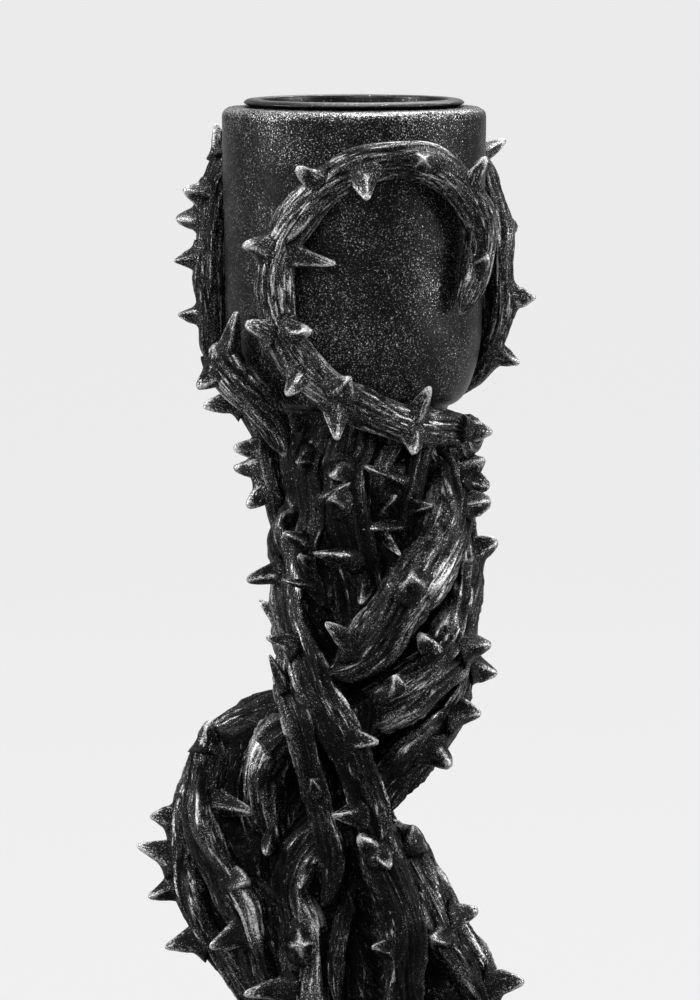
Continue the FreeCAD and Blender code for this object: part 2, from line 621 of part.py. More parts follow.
def thorn_is_clear(vines, cells, cell, number, root, heading, length, vine_radius):
    """Whether a thorn keeps clear of every other vine, the cup and the foot."""
    for probe in range(1, THORN_PROBES + 1):
        share = probe / THORN_PROBES
        point = root + heading * (vine_radius + length * share)
        room = THORN_BASE_SHARE * vine_radius * (1.0 - share * (1.0 - THORN_TIP_SHARE)) + VINE_GAP
        if push_off_core(point, room).Length > 0:
            return False
        for other, place in neighbours(cells, point, cell):
            if other == number:
                continue
            if (point - vines[other].points[place]).Length < room + vines[other].radii[place]:
                return False
    return True


def clear_thorn(vines, cells, cell, number, root, wanted, length, vine_radius):
    """The wanted thorn, turned outwards and shortened as far as its neighbours make it."""
    outward = Vector(root.x, root.y, 0).normalize()
    for short_share in THORN_SHORTEN_SHARES:
        for turn in range(THORN_TURNS + 1):
            share = turn / THORN_TURNS
            heading = (wanted * (1.0 - share) + outward * share).normalize()
            size = length * short_share
            if thorn_is_clear(vines, cells, cell, number, root, heading, size, vine_radius):
                return heading, size
    return None


def seen_thorns(vines, cells, cell):
    """The photograph's thorns, by vine: root, heading and length."""
    numbers = {vine.name: number for number, vine in enumerate(vines)}
    found = {number: [] for number in range(len(vines))}
    for name, base_x, base_y, tip_x, tip_y, nearer in SEEN_THORN_PIXELS:
        number = numbers[name]
        vine = vines[number]
        inner = range(RING_EVERY, len(vine.points) - RING_EVERY, RING_EVERY)

        def miss(index):
            depth = -vine.points[index].y / PIXEL_SIZE
            return (vine.points[index] - seen_point(base_x, base_y, depth)).Length

        index = min(inner, key=miss)
        root = vine.points[index]
        depth = -root.y / PIXEL_SIZE
        wanted = seen_point(tip_x, tip_y, depth + nearer) - root
        length = max(wanted.Length - vine.radii[index], THORN_LENGTH * min(THORN_LENGTH_SHARES))
        heading = wanted.normalize()
        choice = clear_thorn(vines, cells, cell, number, root, heading, length, vine.radii[index])
        if choice is None:
            print("no room for a seen thorn on", name, base_x, base_y)
            continue
        found[number].append((index, root, choice[0], choice[1]))
    return found


def grown_thorns(vines, cells, cell, found):
    """Thorns at an even spacing where the photograph doesn't show the vine."""
    for number, vine in enumerate(vines):
        stride = int(THORN_SPACING / SAMPLE_STEP)
        along = directions(vine.points)
        taken = [entry[0] for entry in found[number]]
        for count, index in enumerate(range(stride, len(vine.points) - stride, stride)):
            point = vine.points[index]
            hidden = point.y > 0 or point.z < seen_point(AXIS_PIXEL, 2 * MIDDLE_PIXELS[1], 0).z
            crowded = any(abs(index - other) < stride for other in taken)
            if not hidden or crowded:
                continue
            outward = Vector(point.x, point.y, 0).normalize()
            lift = outward * math.cos(math.radians(THORN_LIFT)) + UP * math.sin(math.radians(THORN_LIFT))
            across = (lift - along[index] * lift.dot(along[index])).normalize()
            roll = THORN_ROLL_SWING * math.sin(math.radians(THORN_ROLL_STEP * count))
            heading = FreeCAD.Rotation(along[index], roll).multVec(across)
            length = THORN_LENGTH * THORN_LENGTH_SHARES[(count + number) % len(THORN_LENGTH_SHARES)]
            choice = clear_thorn(vines, cells, cell, number, point, heading, length, vine.radii[index])
            if choice:
                found[number].append((index, point, choice[0], choice[1]))
                taken.append(index)


def vine_solid(vine, thorns):
    """A vine with its thorns as one solid."""
    last = len(vine.points) - 1
    picks = sorted(set(range(0, last, RING_EVERY)) | {1, last - 1, last})
    body = tube([vine.points[index] for index in picks], [vine.radii[index] for index in picks])
    if not thorns:
        return body
    along = directions(vine.points)
    tools = [thorn(root, along[index], heading, length, vine.radii[index])
             for index, root, heading, length in thorns]
    return body.fuse(tools)


def write_vines():
    vines = list_vines()
    settle(vines)
    cell = widest_room()
    cells = fill_cells(vines, cell)
    thorns = seen_thorns(vines, cells, cell)
    grown_thorns(vines, cells, cell, thorns)
    for number, vine in enumerate(vines):
        write(vine.name, vine_solid(vine, thorns[number]))


# Cup, liner and pricket


def candle_cup():
    """The cup: straight wall, rounded underside, short neck, bore for the liner, hole for the rod."""
    def at(radius, height):
        return Vector(radius, 0, height)

    rim_inset = CUP_RIM_ROUND * (1.0 - math.sqrt(0.5))
    rim_side = at(CUP_RIM_RADIUS, CUP_RIM_HEIGHT - CUP_RIM_ROUND)
    rim_top = at(CUP_RIM_RADIUS - CUP_RIM_ROUND, CUP_RIM_HEIGHT)
    rim_middle = at(CUP_RIM_RADIUS - rim_inset, CUP_RIM_HEIGHT - rim_inset)
    waist = at(CUP_WAIST_RADIUS, CUP_ROUND_HEIGHT)
    neck = at(CUP_NECK_RADIUS, CUP_NECK_HEIGHT)
    round_centre = at(CUP_NECK_RADIUS, CUP_ROUND_HEIGHT)
    underside = Part.ArcOfEllipse(Part.Ellipse(neck, waist, round_centre), 0, math.pi / 2)
    corners = [
        neck, at(CUP_NECK_RADIUS, CUP_BOTTOM), at(ROD_HOLE_RADIUS, CUP_BOTTOM),
        at(ROD_HOLE_RADIUS, CUP_BORE_FLOOR), at(CUP_BORE_RADIUS, CUP_BORE_FLOOR),
        at(CUP_BORE_RADIUS, CUP_RIM_HEIGHT), rim_top]
    edges = [Part.makeLine(start, end) for start, end in zip(corners, corners[1:])]
    edges.append(Part.Arc(rim_top, rim_middle, rim_side).toShape())
    edges.append(Part.makeLine(rim_side, waist))
    edges.append(underside.toShape())
    return Part.Face(Part.Wire(edges)).revolve(Vector(), UP, FULL_TURN)


def cup_liner():
    """The liner: a thin cup with a domed lip that rests on the rim."""
    lip_crest = LINER_LIP_RADIUS - (LINER_LIP_RADIUS - LINER_BORE_RADIUS) * LINER_LIP_CREST_SHARE
    lip_under = LINER_OUTER_RADIUS + LINER_LIP_EDGE
    shank_hole = SPIKE_SHANK_RADIUS + SHANK_CLEARANCE
    return turned_solid([
        (shank_hole, LINER_BOTTOM), (LINER_OUTER_RADIUS, LINER_BOTTOM),
        (LINER_OUTER_RADIUS, CUP_RIM_HEIGHT), (lip_under, CUP_RIM_HEIGHT),
        (LINER_LIP_RADIUS, CUP_RIM_HEIGHT + LINER_LIP_EDGE), (lip_crest, CUP_RIM_HEIGHT + LINER_LIP_RISE),
        (LINER_BORE_RADIUS, CUP_RIM_HEIGHT + LINER_LIP_RISE), (LINER_BORE_RADIUS, LINER_FLOOR_TOP),
        (shank_hole, LINER_FLOOR_TOP)])


def pricket_spike():
    """The spike: a cone on a shank that passes the collar and the liner's floor to a flat head."""
    cone_bottom = LINER_FLOOR_TOP + COLLAR_THICKNESS
    head_top = LINER_BOTTOM
    return turned_solid([
        (0, head_top - SPIKE_HEAD_THICKNESS), (SPIKE_HEAD_RADIUS, head_top - SPIKE_HEAD_THICKNESS),
        (SPIKE_HEAD_RADIUS, head_top), (SPIKE_SHANK_RADIUS, head_top),
        (SPIKE_SHANK_RADIUS, cone_bottom), (SPIKE_RADIUS, cone_bottom),
        (SPIKE_TIP_RADIUS, cone_bottom + SPIKE_LENGTH), (0, cone_bottom + SPIKE_LENGTH)])


def pricket_collar():
    """The collar between the spike's cone and the liner's floor."""
    return ring(COLLAR_RADIUS, SPIKE_SHANK_RADIUS + SHANK_CLEARANCE, LINER_FLOOR_TOP, COLLAR_THICKNESS)


# Rod, core and fasteners


def hex_nut(bottom):
    """A nut with its thread left plain, standing on a height."""
    corner = NUT_FLATS / math.sqrt(3.0)
    sides = 6
    points = []
    for side in range(sides + 1):
        angle = math.tau * side / sides
        points.append(Vector(corner * math.cos(angle), corner * math.sin(angle), bottom))
    body = Part.Face(Part.makePolygon(points)).extrude(UP * NUT_HEIGHT)
    hole = Part.makeCylinder(ROD_HOLE_RADIUS, NUT_HEIGHT + 2 * CUT_OVERRUN, Vector(0, 0, bottom - CUT_OVERRUN))
    return body.cut(hole)


UPPER_WASHER_BOTTOM = CUP_BORE_FLOOR
LOWER_WASHER_BOTTOM = RECESS_TOP - WASHER_THICKNESS
UPPER_NUT_BOTTOM = UPPER_WASHER_BOTTOM + WASHER_THICKNESS
LOWER_NUT_BOTTOM = LOWER_WASHER_BOTTOM - NUT_HEIGHT


def tie_rod():
    bottom = LOWER_NUT_BOTTOM - ROD_STICK_OUT
    top = UPPER_NUT_BOTTOM + NUT_HEIGHT + ROD_STICK_OUT
    return Part.makeCylinder(ROD_RADIUS, top - bottom, Vector(0, 0, bottom))


def tie_nuts():
    return Part.makeCompound([hex_nut(UPPER_NUT_BOTTOM), hex_nut(LOWER_NUT_BOTTOM)])


def tie_washers():
    upper = ring(WASHER_RADIUS, ROD_HOLE_RADIUS, UPPER_WASHER_BOTTOM, WASHER_THICKNESS)
    lower = ring(WASHER_RADIUS, ROD_HOLE_RADIUS, LOWER_WASHER_BOTTOM, WASHER_THICKNESS)
    return Part.makeCompound([upper, lower])


def stem_core():
    """The core inside the vines, from the foot's boss to the cup's neck, with the rod's hole."""
    height = CUP_BOTTOM - FOOT_BOSS_TOP
    count = int(height / CORE_RING_STEP)
    sections = []
    for number in range(count + 1):
        centre, radius = core_at(CUP_BOTTOM - height * number / count)
        sections.append(Part.Wire([Part.makeCircle(radius, centre)]))
    body = Part.makeLoft(sections, True, True)
    hole_bottom = Vector(0, 0, FOOT_BOSS_TOP - CUT_OVERRUN)
    return body.cut(Part.makeCylinder(ROD_HOLE_RADIUS, height + 2 * CUT_OVERRUN, hole_bottom))


# Foot


def foot_plate():
    """The domed foot with its recess underneath and the rod's hole through its boss."""
    def at(radius, height):
        return Vector(radius, 0, height)

    edge_middle_inset = FOOT_EDGE_ROUND * (1.0 - math.sqrt(0.5))
    edge_side = at(FOOT_RADIUS, FOOT_EDGE_TOP - FOOT_EDGE_ROUND)
    shoulder_reach = FOOT_RADIUS - FOOT_EDGE_ROUND
    edge_top = at(shoulder_reach, dome_height(shoulder_reach))
    edge_middle = at(FOOT_RADIUS - edge_middle_inset, FOOT_EDGE_TOP - edge_middle_inset)
    boss_foot = at(FOOT_BOSS_RADIUS, dome_height(FOOT_BOSS_RADIUS))
    dome_middle_reach = (shoulder_reach + FOOT_BOSS_RADIUS) / 2
    dome_middle = at(dome_middle_reach, dome_height(dome_middle_reach))
    corners = [
        boss_foot, at(FOOT_BOSS_RADIUS, FOOT_BOSS_TOP), at(ROD_HOLE_RADIUS, FOOT_BOSS_TOP),
        at(ROD_HOLE_RADIUS, RECESS_TOP), at(RECESS_RADIUS, RECESS_TOP), at(RECESS_RADIUS, FOOT_BOTTOM),
        at(FOOT_RADIUS, FOOT_BOTTOM), edge_side]
    edges = [Part.makeLine(start, end) for start, end in zip(corners, corners[1:])]
    edges.append(Part.Arc(edge_side, edge_middle, edge_top).toShape())
    edges.append(Part.Arc(edge_top, dome_middle, boss_foot).toShape())
    return Part.Face(Part.Wire(edges)).revolve(Vector(), UP, FULL_TURN)


def ballast_disc():
    outer = RECESS_RADIUS - BALLAST_CLEARANCE
    return ring(outer, BALLAST_HOLE_RADIUS, FOOT_BOTTOM, RECESS_DEPTH)


def felt_pad():
    return Part.makeCylinder(FELT_RADIUS, FELT_THICKNESS)


os.makedirs("parts", exist_ok=True)
write("candle_cup", candle_cup())
write("cup_liner", cup_liner())
write("pricket_spike", pricket_spike())
write("pricket_collar", pricket_collar())
write("tie_rod", tie_rod())
write("tie_nuts", tie_nuts())
write("tie_washers", tie_washers())
write("stem_core", stem_core())
write("foot_plate", foot_plate())
write("ballast_disc", ballast_disc())
write("felt_pad", felt_pad())
write_vines()
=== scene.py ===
import math
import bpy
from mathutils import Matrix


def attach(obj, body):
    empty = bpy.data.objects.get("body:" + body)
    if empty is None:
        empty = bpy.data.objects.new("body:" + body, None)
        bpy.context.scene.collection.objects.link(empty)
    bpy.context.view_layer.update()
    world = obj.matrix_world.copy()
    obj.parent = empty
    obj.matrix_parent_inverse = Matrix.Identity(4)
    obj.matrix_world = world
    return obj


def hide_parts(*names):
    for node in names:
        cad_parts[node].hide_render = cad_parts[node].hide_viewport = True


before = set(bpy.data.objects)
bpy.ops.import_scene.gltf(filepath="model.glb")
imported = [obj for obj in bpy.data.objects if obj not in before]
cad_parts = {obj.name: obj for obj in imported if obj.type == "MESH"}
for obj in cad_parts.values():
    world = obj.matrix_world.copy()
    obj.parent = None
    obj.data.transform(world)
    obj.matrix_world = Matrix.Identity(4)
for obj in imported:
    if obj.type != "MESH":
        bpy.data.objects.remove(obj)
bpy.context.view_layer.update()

import zlib

import bpy
import numpy as np
from mathutils import Vector

MM = 0.001

# Sizes of the cup, the liner and the foot, in millimetres
CUP_RIM_HEIGHT = 168.0
CUP_RIM_RADIUS = 16.5
CUP_WAIST_RADIUS = 16.0
CUP_STRAIGHT_DEPTH = 26.5
CUP_ROUND_DEPTH = 10.5
CUP_NECK_RADIUS = 11.6
CUP_NECK_DEPTH = 3.0
CUP_BORE_DEPTH = 33.0
CUP_BORE_RADIUS = 12.7
CUP_ROUND_HEIGHT = CUP_RIM_HEIGHT - CUP_STRAIGHT_DEPTH
CUP_NECK_HEIGHT = CUP_ROUND_HEIGHT - CUP_ROUND_DEPTH
CUP_BOTTOM = CUP_NECK_HEIGHT - CUP_NECK_DEPTH
CUP_RIM_ROUND = 1.25
CUP_BORE_ROUND = 0.45
SMALL_ROUND = 0.3
ROD_HOLE_RADIUS = 2.2
LINER_OUTER_RADIUS = 12.4
LINER_BORE_RADIUS = 11.5
LINER_BOTTOM = 141.0
LINER_FLOOR_TOP = 142.0
LINER_LIP_RADIUS = 13.75
LINER_LIP_HEIGHT = 1.0
SHANK_HOLE_RADIUS = 1.4
FOOT_RADIUS = 46.0
FOOT_BOTTOM = 1.5
FOOT_EDGE_TOP = 6.5
FOOT_DOME_RISE = 9.0
FOOT_DOME_TOP = FOOT_EDGE_TOP + FOOT_DOME_RISE
FOOT_EDGE_ROUND = 1.6
FOOT_ROUND = 0.5
FOOT_SHOULDER = 1.2  # from the foot's edge to where its dome begins
FOOT_BOSS_RADIUS = 12.0
FOOT_BOSS_RISE = 1.0
FOOT_BOSS_TOP = FOOT_DOME_TOP + FOOT_BOSS_RISE
CORE_FOOT_RADIUS = 11.0
RECESS_RADIUS = 36.0
RECESS_TOP = 7.5
FOOT_SPHERE_RADIUS = (FOOT_RADIUS ** 2 + FOOT_DOME_RISE ** 2) / (2 * FOOT_DOME_RISE)

# Vines and thorns, in millimetres, shares and degrees, as the solids have them
BROAD_RADIUS = 2.65
MIDDLE_RADIUS = 2.15
SLIM_RADIUS = 1.6
THIN_RADIUS = 1.15
VINE_GAP = 0.25
TIP_TAPER = 11.0
TIP_SHARE = 0.16
BLUNT_TAPER = 2.0
BLUNT_SHARE = 0.62
SAMPLE_STEP = 1.25
RING_EVERY = 2
SWELL_SHARE = 0.06
SWELL_LENGTH = 9.0
SETTLE_ROUNDS = 90
SETTLE_REFRESH = 6
SETTLE_STRIDE = 0.35
SETTLE_SHARE = 0.6
CUP_PROBE_SHARES = (-0.5, 0.0, 0.3, 0.55, 0.75, 0.9)
THORN_BASE_SHARE = 0.58
THORN_TIP_SHARE = 0.32
THORN_LENGTH = 3.6
THORN_LENGTH_SHARES = (1.0, 0.8, 1.15, 0.7)
THORN_SPACING = 11.0
THORN_ROLL_STEP = 137.5
THORN_ROLL_SWING = 63.0
THORN_LIFT = 18.4
THORN_SHORTEN_SHARES = (1.0, 0.8, 0.62)
THORN_TURNS = 6
THORN_PROBES = 5
NECK_THORN_LIFT = 15.0  # how much nearer the tips of the neck's thorns come, in pixels

# The photograph's frame, in pixels, degrees and millimetres
CUP_HALF_WIDTH_PIXELS = 132.5
AXIS_PIXEL = 354.0
RIM_PIXEL = 106.0
MIDDLE_PIXELS = (350.0, 500.0)
VIEW_PITCH = 5.9
VIEW_DISTANCE = 48.5 * CUP_RIM_RADIUS
PIXEL_SIZE = CUP_RIM_RADIUS / CUP_HALF_WIDTH_PIXELS
PITCH = math.radians(VIEW_PITCH)
FOCAL_PIXELS = VIEW_DISTANCE / (PIXEL_SIZE * math.cos(PITCH))

# Looks of the vines
BARK_STEP = 0.30  # between the rings of a vine's mesh
BARK_WIDTH = 0.21  # between the vertices of a ring
BARK_COLUMNS = 18  # the fewest vertices of a ring
GRAIN_STRETCH = 0.11  # how far the bark's grain is drawn out along the vines
GROWTH_ROWS = 330
GROWTH_COLUMNS = 300
GROWTH_BRIDGE = 2.6  # the mass between the vines bridges gaps twice as wide
GROWTH_DEPTH = 1.2  # how far it lies below the vines' crests
GROWTH_CORDS = 0.9  # the height of its cords, crests and fine lines, and how far they start below its face
GROWTH_CRESTS = 0.34
GROWTH_FINE = 0.14
GROWTH_SINK = 0.75
GROWTH_TWIST = 0.020
GROWTH_FOOT_HEIGHTS = (30.0, 50.0)  # the mass runs out between these heights, and only the core goes on
FLAT_SHARE = 0.08  # how much flatter than round a vine is where it lies on the stem
FLATNESS = {"cross_vine_upper": 0.20, "cross_vine_middle": 0.20, "cross_vine_lower": 0.16, "hip_vine_front": 0.14,
            "neck_vine_left": 0.16, "neck_vine_middle": 0.20, "neck_vine_right": 0.16, "main_vine_front": 0.12,
            "root_vine_right": 0.14, "shoulder_vine": 0.10}
WORN_AND_SHADED = {"cup_vine_left": 0.6, "cup_vine_right": 0.7, "shoulder_vine": 1.4, "neck_vine_left": 0.6,
        "neck_vine_middle": 0.6, "neck_vine_right": 0.55, "neck_vine_curl": 0.7, "cross_vine_upper": 1.2,
        "cross_vine_middle": 1.1, "hip_vine_front": 1.25, "hip_vine_inner": 1.1, "root_vine_right": 1.1,
        "root_vine_right_inner": 1.45}  # how much of a vine's silver shows, where it isn't the usual; the neck's low shares are partly painted shade under the cup
FADED = {"main_vine_front", "thin_vine_front"}
FADED_HEIGHTS = (76.0, 94.0)  # below these a faded vine keeps its dark paint
EDGED = {"hip_vine_front", "main_vine_front", "thin_vine_front", "root_vine_thin", "root_vine_right_inner",
         "neck_vine_left", "neck_vine_middle", "hip_vine_thin", "root_vine_right", "cross_vine_lower"}
EDGE_ANGLE = 1.05  # where a leaf-like vine's raised edges run, from its outward side, in radians
EDGE_HEIGHT = 0.26
EDGE_HOLLOW = 0.10  # how far such a vine is hollowed between its edges
LINE_SPACING = 0.78  # between the bark's lengthwise lines
BARK_TWIST = (0.014, 0.034)  # how much the bark winds about its vine, in radians for a millimetre
BARK_DRIFT = 0.4
# The bark's noises: how fine they are across the vine, how long along it, and their seeds' offsets
DRIFT_NOISE = (0.6, 13.0, 0)
CREST_NOISE = (2.1, 9.0, 41)
FINE_NOISE = (4.2, 7.0, 43)
GROOVE_NOISE = (3.0, 8.0, 47)
LUMP_NOISE = (1.3, 3.0, 53)
PATCH_NOISE = (0.7, 6.0, 59)
SWAY_NOISE = (0.8, 15.0, 61)
QUICK_SWAY_NOISE = (1.6, 5.0, 63)
LINE_NOISE = (1.1, 5.0, 67)
# How wide the crest lines of three of them are, as shares of the noise's height
CREST_WIDTH = 0.30
FINE_WIDTH = 0.28
GROOVE_WIDTH = 0.14
CORD_HEIGHTS = (0.20, 0.07)  # of the bark's cords on the stem and on the cup, as shares of a vine's radius
CREST_HEIGHTS = (0.10, 0.05)
LINE_HEIGHT = 0.055
GROOVE_DEPTH = 0.10
LUMP_HEIGHT = 0.02
BARK_SINK = 0.05
BARK_WEAR = 0.08
CREST_WEAR = 0.26
LINE_WEAR = 0.34
FINE_WEAR = 0.12
CORD_WEAR = 0.22
GROOVE_WEAR = -0.35
CUP_VINE_WEAR = 0.10  # what the cup's vines have on top of that
CUP_THORN_WEAR = 0.12
EDGE_WEAR = 0.60
HIDDEN_WEAR_AND_SHADE = 0.15  # the share of its silver that a vine keeps where it sinks into the mass, and below, that of a thorn: partly dry-brush that misses the recesses, partly painted shade in them
HIDDEN_THORN_WEAR_AND_SHADE = 0.4
FADED_WEAR = 0.45
NECK_REACH = (119.0, 128.0)  # vines that start between these heights run up into the cup's underside
NECK_STEPS = (4.2, 3.2, 2.2, 1.2)  # how far above their start the points of that stretch lie
NECK_BEND = 0.06
USUAL_GROWN = 1.05  # bark thickness over the plain vine
GROWN = {"hip_vine_inner": 1.32, "cross_vine_upper": 1.16, "cross_vine_middle": 1.14, "shoulder_vine": 1.10,
         "cup_vine_left": 1.02, "cup_vine_right": 1.02}  # the same, where it isn't the usual
# The rounding of a vine's ends: half widths, and how far they lie beyond the end, as shares of its radius
CAP = [(0.995, 0.08), (0.93, 0.28), (0.78, 0.50), (0.52, 0.68), (0.22, 0.76)]
END_ROWS = 7  # rings at each end that are worn bare
END_WEAR = (0.5, 0.1)  # at the end, and where the last of these rings is
THORN_COLUMNS = 28
THORN_BEND = 0.12
THORN_WIDTHS = (0.84, 1.06)
THORN_SKEW = 0.22
THORN_TIP_WIDTHS = (0.62, 0.98)
THORN_CREST = 0.22  # how far a thorn's soft edges stand out
THORN_ROUGH = 0.08
# A thorn's outline: height as a share of its length, half widths along and across the vine as shares of its radius
THORN_OUTLINE = [
    (-0.14, 1.22, 0.80), (-0.06, 1.02, 0.74), (0.00, 0.86, 0.68), (0.07, 0.74, 0.62), (0.15, 0.65, 0.57),
    (0.25, 0.58, 0.53), (0.37, 0.53, 0.49), (0.50, 0.48, 0.45), (0.63, 0.42, 0.40), (0.75, 0.36, 0.34),
    (0.85, 0.30, 0.29), (0.92, 0.24, 0.23), (0.965, 0.17, 0.16), (0.99, 0.09, 0.09), (1.0, 0.03, 0.03)]

# Looks of the black iron: grain sizes in millimetres, and shares
CLOUD_SIZE = 3.5  # worn and less worn places
SPECK_SIZE = 0.13  # single silver grains on the vines
SMOOTH_SPECK_SIZE = 0.165  # the same on the cup and the foot
GRIT_SIZE = 0.30
WOOD_LINES = 0.22  # the vines' fine and broad lengthwise streaks
WOOD_BANDS = 0.8
SPECK_START = 0.64  # how strong a grain has to be to show its silver where nothing is worn
STREAK_START = 0.63  # the same for a streak
SPECK_SHARE = 0.16  # how much silver a grain shows where nothing is worn
STREAK_SHARE = 0.78
BARE_SHARE = 0.85
BLACKS = (0.0012, 0.004)
SILVERS = (0.50, 0.97)
IRON_ROUGHNESS = 0.28
IRON_GLOSS = 0.035  # the vines' specular level where nothing is worn, and how much the wear adds
WORN_GLOSS = 0.38
SMOOTH_GLOSS = 0.13
RELIEF_DEPTH = 0.03
WOOD_DEPTH = 0.20
GRIT_DEPTH = 0.07

# Looks of the cup and the foot: (grain, height) of the unevenness of their skins, in millimetres, and wear
CUP_SKIN = ((7.0, 0.075), (2.6, 0.035))
CUP_SINK = 0.10  # how far the skin lies below the solid's, so that it stays within it
RIM_DEPTH = 2.6  # how far down the rim's dents and wear reach
RIM_DENT = 0.13
RIM_WAVE = 0.10
RIM_SINK = 0.12
CUP_WEAR = 0.11
# Painted light: the next value adds silver on the cup's side that faces the camera.
CUP_FRONT_PAINTED_LIGHT = 0.20
CUP_CLOUD_WEAR = 0.18
RIM_WEAR = 0.75
BELOW_RIM_WEAR = 0.04
LINER_WEAR = 0.25
LINER_LIP_WEAR = 0.35
LINER_CLOUD_WEAR = 0.1
FOOT_FOLD = 0.30
FOOT_SKIN = ((5.0, 0.16), (1.6, 0.05))
FOOT_CRACK = 0.16
FOOT_SINK = 0.30
FOOT_WEAR = 0.10
FOOT_EDGE_WEAR = 0.42
FOOT_FOLD_WEAR = 0.16
FOOT_CRACK_WEAR = -0.12
FOOT_CLOUD_WEAR = 0.10

# The stage: the camera's film in millimetres, and the backdrop and the lamps' aim in metres
SENSOR_HEIGHT = 36.0
SWEEP_FRONT = -3.0
SWEEP_BEND = 0.9
SWEEP_ROUND = 0.7
SWEEP_TOP = 3.2
SWEEP_SIDE = 4.0
LIT_POINT = (0.0, 0.0, 0.11)

